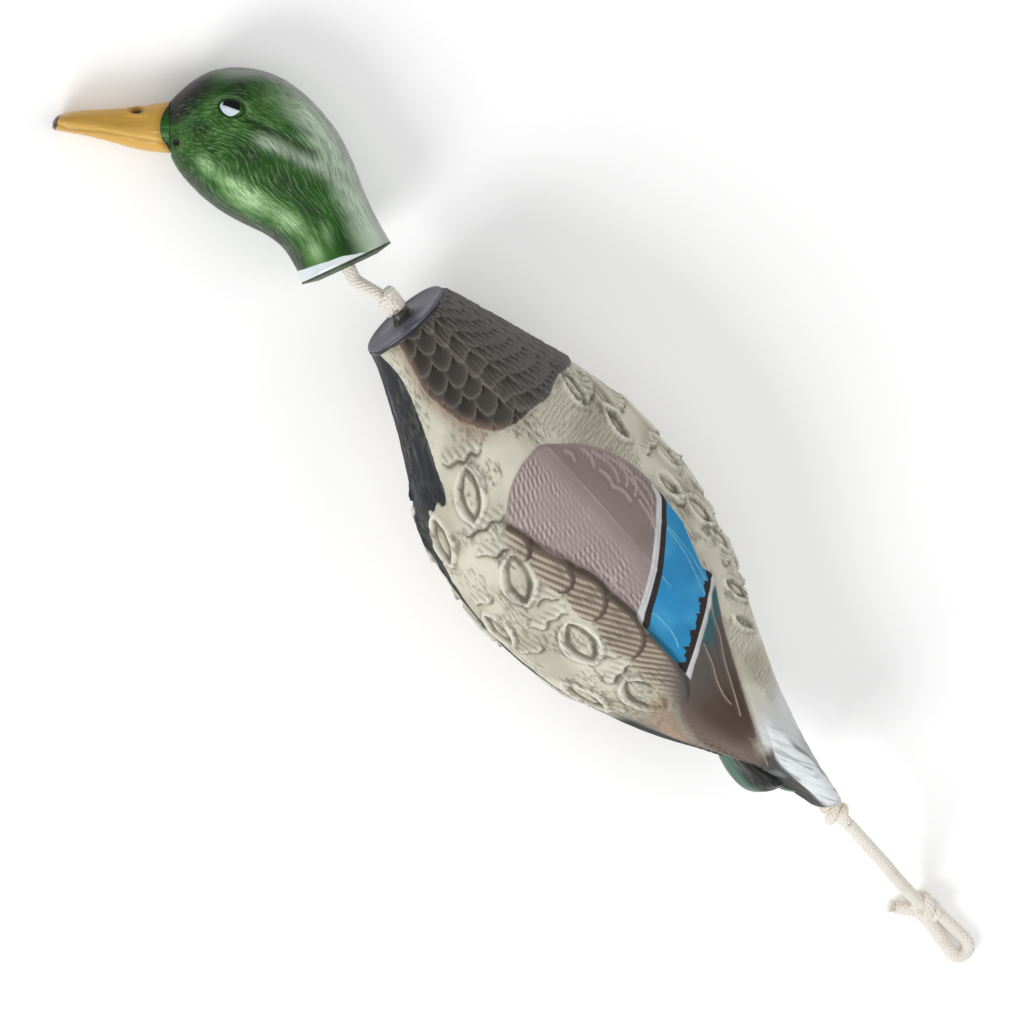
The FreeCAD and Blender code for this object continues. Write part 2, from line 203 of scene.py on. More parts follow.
def braid_tree():
    """Geometry nodes: a braid of round strands that follows whatever curve it is given."""
    tree = bpy.data.node_groups.new("cotton_braid", "GeometryNodeTree")
    face = tree.interface
    face.new_socket("Route", in_out="INPUT", socket_type="NodeSocketGeometry")
    for name, kind, value in (("Strands", "NodeSocketInt", 16), ("Pitch", "NodeSocketFloat", 0.02),
                              ("Radius", "NodeSocketFloat", 0.0031),
                              ("Strand Radius", "NodeSocketFloat", 0.0008),
                              ("Weave", "NodeSocketFloat", 0.00018),
                              ("Spacing", "NodeSocketFloat", 0.0007),
                              ("Cotton", "NodeSocketMaterial", None)):
        socket = face.new_socket(name, in_out="INPUT", socket_type=kind)
        if value is not None:
            socket.default_value = value
    face.new_socket("Rope", in_out="OUTPUT", socket_type="NodeSocketGeometry")
    start = tree.nodes.new("NodeGroupInput").outputs

    def node(kind, inputs=(), **settings):
        return add_node(tree, kind, inputs, **settings)

    def calc(operation, first, second=0.0):
        return node("ShaderNodeMath", {0: first, 1: second}, operation=operation).outputs[0]

    def scaled(vector, factor):
        return node("ShaderNodeVectorMath", {0: vector, "Scale": factor},
                    operation="SCALE").outputs[0]

    fine = node("GeometryNodeResampleCurve", {"Curve": start["Route"], "Length": start["Spacing"]},
                mode="LENGTH").outputs["Curve"]
    copies = node("GeometryNodeDuplicateElements",
                  {"Geometry": fine, "Amount": start["Strands"]}, domain="SPLINE")
    index = copies.outputs["Duplicate Index"]
    side = calc("SUBTRACT", calc("MULTIPLY", calc("MODULO", index, 2.0), 2.0), 1.0)
    half = calc("DIVIDE", start["Strands"], 2.0)
    slot = calc("MULTIPLY", calc("DIVIDE", calc("FLOOR", calc("DIVIDE", index, 2.0)), half), math.tau)
    length = node("GeometryNodeSplineParameter").outputs["Length"]
    wind = calc("MULTIPLY", calc("DIVIDE", length, start["Pitch"]), math.tau)
    turn = calc("ADD", calc("MULTIPLY", wind, side), slot)
    weave = calc("MULTIPLY", calc("MULTIPLY", calc("COSINE", calc("MULTIPLY", wind, half)), side),
                 start["Weave"])
    out = calc("ADD", calc("SUBTRACT", start["Radius"], start["Strand Radius"]), weave)
    normal = node("GeometryNodeInputNormal").outputs[0]
    tangent = node("GeometryNodeInputTangent").outputs[0]
    across = node("ShaderNodeVectorMath", {0: tangent, 1: normal},
                  operation="CROSS_PRODUCT").outputs[0]
    one = scaled(normal, calc("MULTIPLY", calc("COSINE", turn), out))
    two = scaled(across, calc("MULTIPLY", calc("SINE", turn), out))
    offset = node("ShaderNodeVectorMath", {0: one, 1: two}, operation="ADD").outputs[0]
    strands = node("GeometryNodeSetPosition", {"Geometry": copies.outputs["Geometry"],
                                               "Offset": offset}).outputs["Geometry"]
    thread = node("GeometryNodeCurvePrimitiveCircle", {"Resolution": 6, "Radius":
                  start["Strand Radius"]}).outputs["Curve"]
    outer = node("GeometryNodeCurveToMesh", {"Curve": strands, "Profile Curve": thread,
                                             "Fill Caps": True}).outputs["Mesh"]
    core_ring = node("GeometryNodeCurvePrimitiveCircle", {"Resolution": 16, "Radius": calc(
        "SUBTRACT", start["Radius"], start["Strand Radius"])}).outputs["Curve"]
    core = node("GeometryNodeCurveToMesh", {"Curve": fine, "Profile Curve": core_ring,
                                            "Fill Caps": True}).outputs["Mesh"]
    both = node("GeometryNodeJoinGeometry")
    tree.links.new(outer, both.inputs[0])
    tree.links.new(core, both.inputs[0])
    smooth = node("GeometryNodeSetShadeSmooth", {"Geometry": both.outputs[0]}).outputs[0]
    real = node("GeometryNodeRealizeInstances", {"Geometry": smooth}).outputs[0]
    dressed = node("GeometryNodeSetMaterial", {"Geometry": real, "Material": start["Cotton"]})
    tree.links.new(dressed.outputs[0], tree.nodes.new("NodeGroupOutput").inputs["Rope"])
    return tree


braid = braid_tree()
STRAND_SHARE = 0.125             # a strand's radius, and how far it weaves in and out, in diameters
WEAVE_SHARE = 0.03


def rope_route(name, points):
    """The rope's line through given points in millimetres: its curve and the points on it."""
    data = bpy.data.curves.new(name + "_line", "CURVE")
    data.dimensions = "3D"
    data.resolution_u = 12
    spline = data.splines.new("NURBS")
    spline.points.add(len(points) - 1)
    for point, place in zip(spline.points, points):
        point.co = (*(np.array(place) * MM), 1.0)
    spline.order_u = 3
    spline.use_endpoint_u = True
    line = in_scene(name + "_line", data)
    drawn = bpy.data.meshes.new_from_object(line)
    along = [tuple(vertex.co) for vertex in drawn.vertices]
    bpy.data.meshes.remove(drawn)
    return line, along


def braided(name, points, diameter=ROPE, strands=16, pitch=20.0):
    """Braided rope along a route, as a plain mesh, and the points that it follows."""
    line, along = rope_route(name, points)
    modifier = line.modifiers.new("braid", "NODES")
    modifier.node_group = braid
    sizes = {"Strands": strands, "Pitch": pitch * MM, "Radius": diameter / 2.0 * MM,
             "Strand Radius": diameter * STRAND_SHARE * MM, "Weave": diameter * WEAVE_SHARE * MM,
             "Spacing": 0.7 * MM, "Cotton": cotton}
    for item in braid.interface.items_tree:
        if item.in_out == "INPUT" and item.name in sizes:
            modifier[item.identifier] = sizes[item.name]
    drawn = line.evaluated_get(bpy.context.evaluated_depsgraph_get())
    mesh = bpy.data.meshes.new_from_object(drawn)
    mesh.name = name
    bpy.data.objects.remove(line)
    return in_scene(name, mesh), along


def from_tail(route):
    """Places along and across from the tail end, and up from the ground."""
    return [(tail_end[0] + along, tail_end[1] + across, up) for along, across, up in route]


THROW_ROUTE = ((-18.0, -1.0, 46.9), (-34.0, -1.2, 45.3), (-50.0, -1.6, 38.6),
               (-64.0, -1.4, 27.6), (-77.0, -1.8, 16.4), (-89.5, -2.4, 8.4))
throw_rope, throw_line = braided("throw_rope_braid", from_tail(THROW_ROUTE))
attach(throw_rope, "body")
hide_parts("throw_rope")

# ---- rope: loop, loop knot, tail knot and cut end ----------------------------------------------
# The loop is the same cord doubled back. Both knots are overhand knots pulled hard, so the cord
# is squeezed thinner in them; the cut end beside the loop knot has started to fray.
LOOP_ROUTE = ((-101.0, -6.1, 4.6), (-115.0, -6.9, 3.3), (-129.8, -8.3, 3.2),
              (-130.2, 2.5, 3.2), (-115.0, 0.8, 3.3), (-101.0, 0.1, 4.6))
throw_loop, loop_line = braided("throw_loop_braid", from_tail(LOOP_ROUTE))
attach(throw_loop, "body")
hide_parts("throw_loop")


def pulled_knot(name, middle, along, wide, length, lean, squeezed, turns=1.6):
    """Overhand knot pulled tight: the cord wraps round itself and tucks under its own turn."""
    middle = np.array(middle)
    along = np.array(along) / np.linalg.norm(along)
    up = np.array((0, 0, 1.0)) - along * along[2]
    up /= np.linalg.norm(up)
    side = np.cross(along, up)
    reach = (wide - squeezed) / 2.0
    half = (length - squeezed) / 2.0
    points = [middle - along * half - up * 0.1]
    for step in range(15):
        share = step / 14.0
        turn = math.radians(lean) + share * turns * math.tau
        slide = (share - 0.5) * 1.5 * half + 0.34 * half * math.sin(turn + 0.6)
        points.append(middle + along * slide + (up * math.cos(turn) + side * math.sin(turn)) * reach)
    points.append(middle + along * half + side * 0.4)
    return braided(name, points, squeezed, 12, 14.0)[0]


def mesh_object(name, vertices, faces, smooth=True):
    """A piece from its corners in metres and its faces."""
    mesh = bpy.data.meshes.new(name)
    mesh.from_pydata(vertices, [], faces)
    mesh.polygons.foreach_set("use_smooth", [smooth] * len(faces))
    return in_scene(name, mesh)


def joined(name, *parts):
    """Several loose meshes of cotton made one piece."""
    vertices, faces = [], []
    for part in parts:
        base = len(vertices)
        vertices += [tuple(v.co) for v in part.data.vertices]
        faces += [tuple(base + i for i in face.vertices) for face in part.data.polygons]
        bpy.data.objects.remove(part)
    made = mesh_object(name, vertices, faces)
    made.data.materials.append(cotton)
    return made


tail_knot_at = tail_end - rope_line * 9.2
tail_knot = joined("tail_knot_tied",
                   pulled_knot("wrap_a", tail_knot_at, rope_line, 13.6, 17.5, 20, 5.2, 1.6),
                   braided("through_a", [tail_end + rope_line * 4.0, tail_knot_at,
                                         np.array(throw_line[0]) * METRE])[0])
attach(tail_knot, "body")
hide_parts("tail_knot")

SQUEEZED_ROPE = 5.6
loop_knot_at, = from_tail([(-96.0, -2.8, 6.8)])
towards_loop = np.array((-1.0, -0.1, -0.15))
loop_knot = joined("loop_knot_tied",
                   pulled_knot("wrap_b", loop_knot_at, towards_loop, 14.0, 17.5, 100, 5.4, 1.7),
                   braided("through_b", [np.array(throw_line[-1]) * METRE, loop_knot_at,
                                         np.array(loop_line[0]) * METRE], SQUEEZED_ROPE)[0],
                   braided("through_c", [np.array(loop_line[-1]) * METRE,
                                         np.array(loop_knot_at) + (0, 2.2, 0),
                                         from_tail([(-92.5, 2.5, 5.2)])[0]], SQUEEZED_ROPE)[0])
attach(loop_knot, "body")
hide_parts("loop_knot")

END_ROUTE = ((-93.5, 2.0, 5.4), (-90.0, 4.8, 4.6), (-86.5, 7.6, 3.9))
rope_end, end_line = braided("rope_end_braid", from_tail(END_ROUTE))


def ring_quads(rows, columns, base=0):
    """Faces between rings of corners that follow one another along a piece."""
    return [(base + row * columns + column, base + row * columns + (column + 1) % columns,
             base + (row + 1) * columns + (column + 1) % columns, base + (row + 1) * columns + column)
            for row in range(rows) for column in range(columns)]


def frayed_fibres(tip, out, count, seed):
    """Loose fibres that stand out of the cut face, each a thin tapering thread."""
    chance = np.random.default_rng(seed)
    out = np.array(out) / np.linalg.norm(out)
    up = np.array((0, 0, 1.0))
    side = np.cross(out, up)
    side /= np.linalg.norm(side)
    vertices, faces = [], []
    for _ in range(count):
        turn = chance.uniform(0, math.tau)
        far = chance.uniform(1.2, 3.6)
        spread = chance.uniform(0.2, 1)
        ray = side * math.cos(turn) + np.cross(side, out) * math.sin(turn)
        base = len(vertices)
        for step in range(5):
            share = step / 4.0
            middle = tip + ray * (0.4 + 2.1 * spread + 1.5 * spread * share ** 2) + out * far * share
            middle[2] = max(middle[2] - 0.8 * share ** 2, 0.35)
            thick = 0.22 * (1.0 - 0.8 * share)
            for corner in range(4):
                angle = corner * math.tau / 4
                round_it = ray * math.cos(angle) + np.cross(ray, out) * math.sin(angle)
                vertices.append(tuple((middle + round_it * thick) * MM))
        faces += ring_quads(4, 4, base)
        faces.append((base + 3, base + 2, base + 1, base))
        faces.append((base + 16, base + 17, base + 18, base + 19))
    return mesh_object("fibres", vertices, faces)


end_tip = np.array(end_line[-1]) * METRE
rope_end = joined("rope_end_frayed", rope_end, frayed_fibres(end_tip, (3.5, 2.8, -0.6), 60, 5))
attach(rope_end, "body")
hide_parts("rope_end")

# ---- foam body ---------------------------------------------------------------------------------
# One closed-cell foam moulding with the feathers in its skin, split along a flash line down each
# flank, then airbrushed and hand painted. Its stations repeat the moulding's own sections.
FOAM_LENGTH = 303.4
BODY_DEPTH = 118.0
BODY_WIDTH = 100.0
BODY_ROLL = math.radians(12.0)
BODY_SECTIONS = (
    (0.07, 0.008, 0.140, 0.44), (0.17, 0.026, 0.310, 0.52), (0.25, 0.055, 0.520, 0.66),
    (0.33, 0.062, 0.690, 0.81), (0.43, 0.061, 0.900, 0.95), (0.55, 0.058, 1.000, 1.00),
    (0.66, 0.055, 0.985, 0.99), (0.75, 0.045, 0.900, 0.92), (0.83, 0.022, 0.705, 0.77),
    (0.92, -0.002, 0.505, 0.59),
)
level_up = np.array((-rope_line[2], 0.0, rope_line[0]))
duck_back = math.cos(BODY_ROLL) * np.array((0, 1.0, 0)) + math.sin(BODY_ROLL) * level_up
duck_right = -math.sin(BODY_ROLL) * np.array((0, 1.0, 0)) + math.cos(BODY_ROLL) * level_up


def net_oval(middle, half_a, half_b, count=12):
    """Ring of net corners whose smooth curve passes through the ends of both half widths."""
    reach = 3.0 / (2.0 + math.cos(math.tau / count))
    turns = np.arange(count) * math.tau / count
    return middle + (np.outer(np.cos(turns), half_a) + np.outer(np.sin(turns), half_b)) * reach


def smooth_share(value, low, high):
    """0 below low, 1 above high and an even slope between them."""
    share = np.clip((value - low) / (high - low), 0.0, 1.0)
    return share * share * (3 - 2 * share)


def cubic_along(count, at):
    """Weights of a clamped smooth row of net corners at each place from 0 to 1."""
    degree = min(3, count - 1)
    spans = count - degree
    knots = np.concatenate([np.zeros(degree), np.arange(spans + 1), np.full(degree, spans)])
    at = np.clip(at * spans, 0, spans - 1e-9)
    basis = [((knots[i] <= at) & (at < knots[i + 1])).astype(float) for i in range(len(knots) - 1)]
    for order in range(1, degree + 1):
        raised = []
        for i in range(len(basis) - 1):
            low = knots[i + order] - knots[i]
            high = knots[i + order + 1] - knots[i + 1]
            left = (at - knots[i]) / low * basis[i] if low else 0.0
            right = (knots[i + order + 1] - at) / high * basis[i + 1] if high else 0.0
            raised.append(left + right)
        basis = raised
    return np.array(basis).T


def cubic_around(count, at):
    """Weights of a closed smooth ring of net corners at each place from 0 to 1."""
    weights = np.zeros((len(at), count))
    place = at * count
    first = np.floor(place).astype(int)
    f = place - first
    rows = np.arange(len(at))
    for shift, weight in ((-1, (1 - f) ** 3 / 6), (0, (3 * f ** 3 - 6 * f ** 2 + 4) / 6),
                          (1, (-3 * f ** 3 + 3 * f ** 2 + 3 * f + 1) / 6), (2, f ** 3 / 6)):
        weights[rows, (first + shift) % count] += weight
    return weights


def net_surface(ovals, along, around):
    """Grid of points on the smooth skin over a row of ovals."""
    ovals = np.array(ovals)
    rows = np.einsum("ar,rcx->acx", cubic_along(len(ovals), along), ovals)
    return np.einsum("bc,acx->abx", cubic_around(ovals.shape[1], around), rows)


def grid_normals(points):
    """Outward unit normals of a grid whose columns close round the piece's own middle line."""
    along = np.gradient(points, axis=0)
    around = np.roll(points, -1, axis=1) - np.roll(points, 1, axis=1)
    normals = np.cross(around, along)
    normals = normals / np.maximum(np.linalg.norm(normals, axis=2, keepdims=True), 1e-9)
    row, column = points.shape[0] // 2, points.shape[1] // 4
    return -normals if normals[row, column, 2] * points[row, column, 2] < 0 else normals


body_ovals = [net_oval(np.zeros(3), np.array((0, 5.5, 0)), np.array((0, 0, 17.0)))]
for share, offset, depth, width in BODY_SECTIONS:
    body_ovals.append(net_oval(np.array((share * FOAM_LENGTH, offset * BODY_DEPTH, 0)),
                               np.array((0, depth * BODY_DEPTH / 2, 0)),
                               np.array((0, 0, width * BODY_WIDTH / 2))))
body_ovals.append(net_oval(np.array((FOAM_LENGTH, 0, 0)), np.array((0, 21.0, 0)),
                           np.array((0, 0, 21.0))))
ROWS = 470
COLUMNS = 456
fine = np.linspace(0, 1, 4000)
station = cubic_along(len(body_ovals), fine) @ np.array([oval[0][0] for oval in body_ovals])
along = np.interp(np.linspace(0, FOAM_LENGTH, ROWS), station, fine)
base = net_surface(body_ovals, along, np.arange(COLUMNS) / COLUMNS)
normals = grid_normals(base)
s = base[:, :, 0]
angle = np.degrees(np.arctan2(base[:, :, 2], base[:, :, 1]))
psi = np.abs(angle)                            # 0 along the spine, 90 down the flank, 180 belly
radius = np.hypot(base[:, :, 1], base[:, :, 2])
flank = (psi > 55) & (psi < 125)
reach_by_row = np.array([radius[row][flank[row]].mean() for row in range(ROWS)])


def girth(at):
    """Distance round the flank, in millimetres for each radian, at a station."""
    return np.interp(at, s[:, 0], reach_by_row)


v = np.radians(psi) * girth(s)                 # millimetres from the spine, down towards the belly


def on_skin(places):
    """Turns (station, degrees from the spine) into (station, millimetres from the spine)."""
    places = np.array(places, float)
    return np.stack([places[:, 0], np.radians(places[:, 1]) * girth(places[:, 0])], axis=1)


def rounded(corners, closed):
    """Cuts the corners of an outline twice, so that a brush or a graver could have followed it."""
    for _ in range(2):
        after = np.roll(corners, -1, axis=0) if closed else corners[1:]
        before = corners if closed else corners[:-1]
        cut = np.stack([0.75 * before + 0.25 * after, 0.25 * before + 0.75 * after], 1).reshape(-1, 2)
        corners = cut if closed else np.vstack([corners[:1], cut[1:-1], corners[-1:]])
    return corners


def line_distance(places, closed=False, soft=True):
    """Distance to a painted or moulded line, and the place along it, in millimetres."""
    corners = rounded(on_skin(places), closed) if soft else on_skin(places)
    if closed:
        corners = np.vstack([corners, corners[:1]])
    best = np.full(s.shape, 1e9)
    place = np.zeros(s.shape)
    signed = np.zeros(s.shape)
    run = 0.0
    for a, b in zip(corners, corners[1:]):
        d = b - a
        length = max(np.hypot(*d), 1e-6)
        t = np.clip(((s - a[0]) * d[0] + (v - a[1]) * d[1]) / length ** 2, 0, 1)
        gap = np.hypot(s - a[0] - t * d[0], v - a[1] - t * d[1])
        nearer = gap < best
        best = np.where(nearer, gap, best)
        place = np.where(nearer, run + t * length, place)
        signed = np.where(nearer, (s - a[0]) * d[1] - (v - a[1]) * d[0], signed)
        run += length
    return best, place, np.sign(signed), run


def patch(places, soft=True):
    """Distance inside a closed outline; negative outside."""
    corners = rounded(on_skin(places), True) if soft else on_skin(places)
    inside = np.zeros(s.shape, bool)
    for a, b in zip(corners, np.roll(corners, -1, axis=0)):
        crosses = (a[1] > v) != (b[1] > v)
        edge = a[0] + (v - a[1]) / (b[1] - a[1] if b[1] != a[1] else 1e-9) * (b[0] - a[0])
        inside ^= crosses & (s < edge)
    gap = line_distance(places, True, soft)[0]
    return np.where(inside, gap, -gap)


BREAST_EDGE = ((306, 50), (302, 52), (292, 50), (280, 48), (273, 53), (265, 57), (259, 63),
               (253, 69), (249, 76), (247, 85), (246, 92), (246, 104), (243, 113), (246, 134),
               (241, 151), (238, 185), (312, 185), (312, 50))
STRIP_EDGE = ((312, 12), (303, 15), (293, 33), (280, 33), (263, 30), (250, 28), (240, 28),
              (236, 24), (240, 20), (236, 15), (238, 11), (232, 9), (220, 6.5), (208, 3.4),
              (190, 2.6), (150, 2.6), (118, 3.0), (104, 4), (104, -9), (312, -9))
WING_EDGE = ((234, 88), (233.5, 81), (233, 73), (230, 63), (224, 54), (218, 49), (210, 53),
             (199, 55), (188, 60), (177, 65), (165, 66), (152, 67), (146, 68.5), (156, 88),
             (175, 118), (181, 122), (185, 123), (198, 121), (212, 114), (222, 105), (229, 95))
BLUE_EDGE = ((185, 121), (178, 117), (159, 87.5), (148.5, 68.5), (146, 66.8), (129, 65.5),
             (118, 65.5), (105, 64.5), (109, 71), (117.5, 88), (124.5, 103.5), (131, 118),
             (139, 113), (146, 115.5), (160, 121.5), (176, 122.5))
PRIMARY_EDGE = ((131, 117), (116, 104), (103, 97), (81, 85), (68, 77), (53, 67), (38, 52), (39, 36),
                (46, 20), (58, 18), (72, 24), (84, 33), (95, 41), (104, 48), (112, 56), (120, 63),
                (107, 65), (116, 84), (124, 103))
NEAR_BAR = ((186, 122), (178, 117), (159, 87.5), (148.5, 68.5), (145, 64))
FAR_BAR = ((104, 62), (109, 71), (117.5, 88), (124.5, 103.5), (132, 120))
WHITE_FEATHER = ((84, 82), (64, 83), (50, 76), (38, 64), (31, 65), (23, 66), (13, 68), (-2, 66),
                 (-2, 104), (16, 100), (29, 99), (39, 90), (60, 90))
OVALS = (  # station, degrees, half length, half width, lean in degrees
    (236, 41, 11, 6.0, 8), (224, 13, 11, 5.0, 4), (194, 37.5, 12, 6.3, 16),
    (153, 39.5, 12, 6.5, 12), (112, 41, 13, 7.5, 8), (176, 11, 10, 4.8, 2), (126, 15, 12, 5.0, 0),
    (238, 135, 10, 5.2, -8), (225, 146, 10, 5.0, -4), (199, 168, 11, 5.2, -4),
    (184, 150, 11, 5.6, -6), (164, 163, 11, 5.2, -6), (155, 140, 10.5, 5.4, -10),
    (137, 143, 9.5, 4.8, -8), (122, 162, 9.5, 4.8, -5), (116, 130, 10, 5.0, -10),
    (102, 121, 9, 4.0, -8), (212, 134, 9, 4.4, -6), (176, 131, 8.5, 4.2, -10),
)
LIPS = (  # open lines of feather tips that stand off the skin
    ((253, 34), (250, 44), (250, 55), (249, 61)), ((223, 28), (222, 36), (222, 43), (221, 51)),
    ((214, 29), (210, 33), (209, 38), (209, 46)), ((181, 36), (180, 44), (176, 46)),
    ((173, 27), (168, 31), (171, 38), (169, 45)), ((141, 41), (140, 46), (136, 49)),
    ((131, 32), (127, 35), (132, 46), (126, 54)), ((194, 8), (191, 13), (192, 21)),
    ((162, 11), (160, 17), (159, 24)), ((112, 13), (111, 19), (109, 24)),
    ((94, 26), (95, 33)), ((243, 9), (240, 15), (240, 24)), ((230, 126), (229, 140), (231, 150)),
    ((213, 146), (212, 158), (213, 168)), ((193, 134), (192, 146)),
    ((174, 146), (173, 160), (175, 172)),
    ((146, 148), (145, 160), (146, 170)), ((128, 132), (127, 144)), ((167, 126), (165, 133)),
    ((112, 142), (111, 158)),
)
SHOULDER_FEATHERS = (  # the smooth dark rim of each, then the rest of its outline
    (((218, 49), (211, 53), (206, 53.5), (201, 51.5), (198, 47)), ((201, 42), (214, 44))),
    (((206, 52), (199, 57), (192, 60), (185, 60), (179, 58), (175.5, 53), (177, 47.5)),
     ((186, 45), (199, 46))),
    (((185, 60), (176, 64), (169, 65.5), (161, 62.5), (157, 56), (157, 50.5)),
     ((165, 46), (180, 50))),
    (((165, 64.5), (153, 67), (145, 67), (137, 65), (132, 59), (130.5, 51)),
     ((142, 46), (160, 51))),
    (((140, 66), (127, 67.5), (116, 66.5), (104, 62), (96, 54)), ((100, 45), (118, 48), (136, 50))),
)
QUILLS = (
    ((114, 84), (102, 80), (97, 76), (87, 72), (80, 72)),
    ((127, 106), (120, 99), (111, 96), (101, 88), (86, 80), (72, 71)),
    ((132, 116), (116, 104), (103, 97), (81, 85), (68, 77), (53, 67), (38, 52)),
)
BLUE_QUILLS = (
    ((169, 111), (157, 112), (144, 111), (133, 109)),
    ((170, 110), (160, 110), (148, 109), (130, 103)),
    ((144, 74), (138, 75), (129, 75), (122, 72)),
    ((170, 123), (156, 122), (145, 118), (131, 115)),
)
WING_ARCS = (
    ((224, 96), (221, 98), (218, 96)), ((219, 104), (214, 105), (210, 102)),
    ((215, 107), (207, 110), (200, 109), (197, 106)),
    ((210, 111), (202, 114), (195, 113), (193, 108)),
    ((204, 115), (195, 116), (189, 113), (187, 108)),
    ((194, 113), (185, 112), (177, 110), (170, 105)),
    ((184, 108), (176, 107), (170, 104)), ((207, 103), (202, 104), (197, 102)),
    ((198, 102), (193, 105), (187, 104)),
    ((176, 68), (169, 71), (162, 69)), ((169, 67), (161, 71), (153, 70)),
    ((192, 116), (184, 117), (178, 113)),
)

height = np.zeros(s.shape)
breast = patch(BREAST_EDGE)
strip = patch(STRIP_EDGE) + 0.9 * soft_noise(s / 3.0, v / 2.0, 3) * smooth_share(246 - s, 0, 8)
wing = patch(WING_EDGE)
blue = patch(BLUE_EDGE, False)
primary = patch(PRIMARY_EDGE)
primary_share = primary * (1 - 0.85 * smooth_share(-psi, -76, -62))

# breast: rows of small rounded feathers, each lying over the next one towards the tail
belly_wise = smooth_share(psi, 85, 140)
across_count = np.interp(psi, (0, 85, 140, 180), (0, 5.0, 9.6, 13.4))
across_count = across_count * girth(s) / girth(np.array(275.0))
across_count = across_count + 0.042 * (s - 300.0) * smooth_share(psi, 78, 120)
row_count = s / (8.2 - 1.6 * smooth_share(psi, 95, 140)) + 0.3 * np.sin(np.radians(psi) * 5.0)
row_count = row_count + 0.16 * soft_noise(s / 11, v / 11, 31)
scale_top = np.zeros(s.shape)
scale_edge = np.zeros(s.shape)
covered = np.zeros(s.shape, bool)
for ahead in (2, 1, 0, -1):
    row = np.floor(row_count) + ahead
    shift = (row % 2) * 0.5
    column = np.round(across_count - shift) + shift
    du = (row_count - row) / 1.55
    dv = (across_count - column) / 0.62
    reach = np.sqrt(np.where(du < 0, du ** 2, (du * 0.35) ** 2) + np.abs(dv) ** 2.4)
    here = (~covered) & (reach < 1.0)
    scale_top = np.where(here, reach, scale_top)
    scale_edge = np.where(here, smooth_share(reach, 0.86, 0.94), scale_edge)
    covered |= here
on_breast = smooth_share(breast, -0.4, 0.8)
scale_size = 1.0 - 0.55 * belly_wise
barbs = np.sin((v * 0.90 + 0.44 * s) * math.tau / 1.9 + soft_noise(s / 4, v / 4, 7) * 1.2)
height += on_breast * scale_size * (1.35 * scale_top ** 2.2 + 0.1 * scale_edge)
height += on_breast * 0.16 * barbs * smooth_share(psi, 86, 112) * smooth_share(scale_top, 0.4, 0.7)
height += 0.8 * smooth_share(breast, -0.2, 2.4)

# cream skin: bold ringed feathers, scalloped lips and fine engraved stipple
cream = smooth_share(-breast, 0.0, 1.5) * smooth_share(-wing, -0.4, 1.0)
cream = cream * smooth_share(-blue, 0, 1.0) * smooth_share(-primary, 0, 2.0)
# pocket: the rings' inner grooves, the skin just behind the rings and under the lips, which get
# painted shade
pocket_shade = np.zeros(s.shape)
for number, (at, degrees, half_long, half_wide, lean) in enumerate(OVALS):
    middle = on_skin([(at, degrees)])[0]
    c, d = math.cos(math.radians(lean)), math.sin(math.radians(lean))
    x = (s - middle[0]) * c + (v - middle[1]) * d
    y = -(s - middle[0]) * d + (v - middle[1]) * c
    inside_span = np.clip(1.0 - (x / half_long) ** 2, 0, 1)
    out = np.where(np.abs(x) < half_long, np.abs(y) - half_wide * inside_span ** 0.72,
                   np.hypot(np.abs(x) - half_long, y))
    near = out + 0.3 * soft_noise(s / 3, v / 3, 40 + number)
    height += 1.6 * np.exp(-((near - 0.2) / 1.4) ** 2)
    height -= 0.9 * np.exp(-((near + 2.3) / 1.0) ** 2)
    height += 0.45 * smooth_share(-near, 2.6, 4.6)
    height += 0.10 * np.sin((x * 0.5 + y) * math.tau / 1.6) * smooth_share(-near, 2.0, 3.0)
    tailward = smooth_share(-x, -0.2 * half_long, 0.8 * half_long)
    deep = np.exp(-((near + 2.1) / 0.8) ** 2) * (0.25 + 0.75 * tailward)
    pocket_shade = np.maximum(pocket_shade, deep)
    pocket_shade = np.maximum(pocket_shade, 0.45 * np.exp(-((near - 2.5) / 0.8) ** 2) * tailward)
combed = np.zeros(s.shape)
stripes = np.sin((s * 0.43 + v * 0.90) * math.tau / 2.7 + 0.5 * soft_noise(s / 8, v / 8, 19))
for number, places in enumerate(LIPS):
    gap, place, sign, run = line_distance(places)
    forward = np.where(on_skin(places)[0][1] < on_skin(places)[-1][1], 1.0, -1.0)
    across = gap * sign * forward
    scallop = 0.75 * np.cos(place * math.tau / 7.0 + number)
    scallop = scallop + 0.4 * soft_noise(place / 3.0, place * 0 + number, 18)
    beyond = across - scallop + 0.4
    window = smooth_share(-gap, -7.0, -3.0) * (place > 0.05) * (place < run - 0.05)
    rise = np.where(beyond > 0, np.exp(-beyond / 2.6), -0.55 * np.exp(beyond / 1.2))
    height += 1.6 * rise * window * cream
    comb_patch = smooth_share(beyond, 0.4, 1.6) * smooth_share(-beyond, -8.5, -5.0) * window * cream
    combed = np.maximum(combed, comb_patch)
    pocket_shade = np.maximum(pocket_shade, np.exp(-((beyond + 0.7) / 0.8) ** 2) * window)
height += 0.17 * stripes * combed
stipple = soft_noise(s / 2.6, v / 1.0, 11, 256) + 0.5 * soft_noise(s / 1.5, v / 1.1, 12, 128)
clusters = smooth_share(soft_noise(s / 8.5, v / 8.5, 13) + 0.35, 0.0, 0.5)
worm_zone = smooth_share(psi, 96, 102) * smooth_share(-psi, -137, -124)
worm_zone = worm_zone * np.maximum(smooth_share(s, 194, 198) * smooth_share(-s, -246, -240),
                                   smooth_share(s, 56, 66) * smooth_share(-s, -112, -104))
worm_zone = worm_zone * cream
engraved = cream * clusters * (1 - worm_zone) * (1 - combed) * smooth_share(s, 92, 104)
height += engraved * 0.16 * stipple
wave = s * 0.96 - v * 0.28 + 1.5 * soft_noise(s / 4.5, v / 4.5, 15)
wave = wave + 0.6 * np.sin(v * math.tau / 5.2)
worms = np.sin(wave * math.tau / 2.9)
height += 0.22 * worms * worm_zone

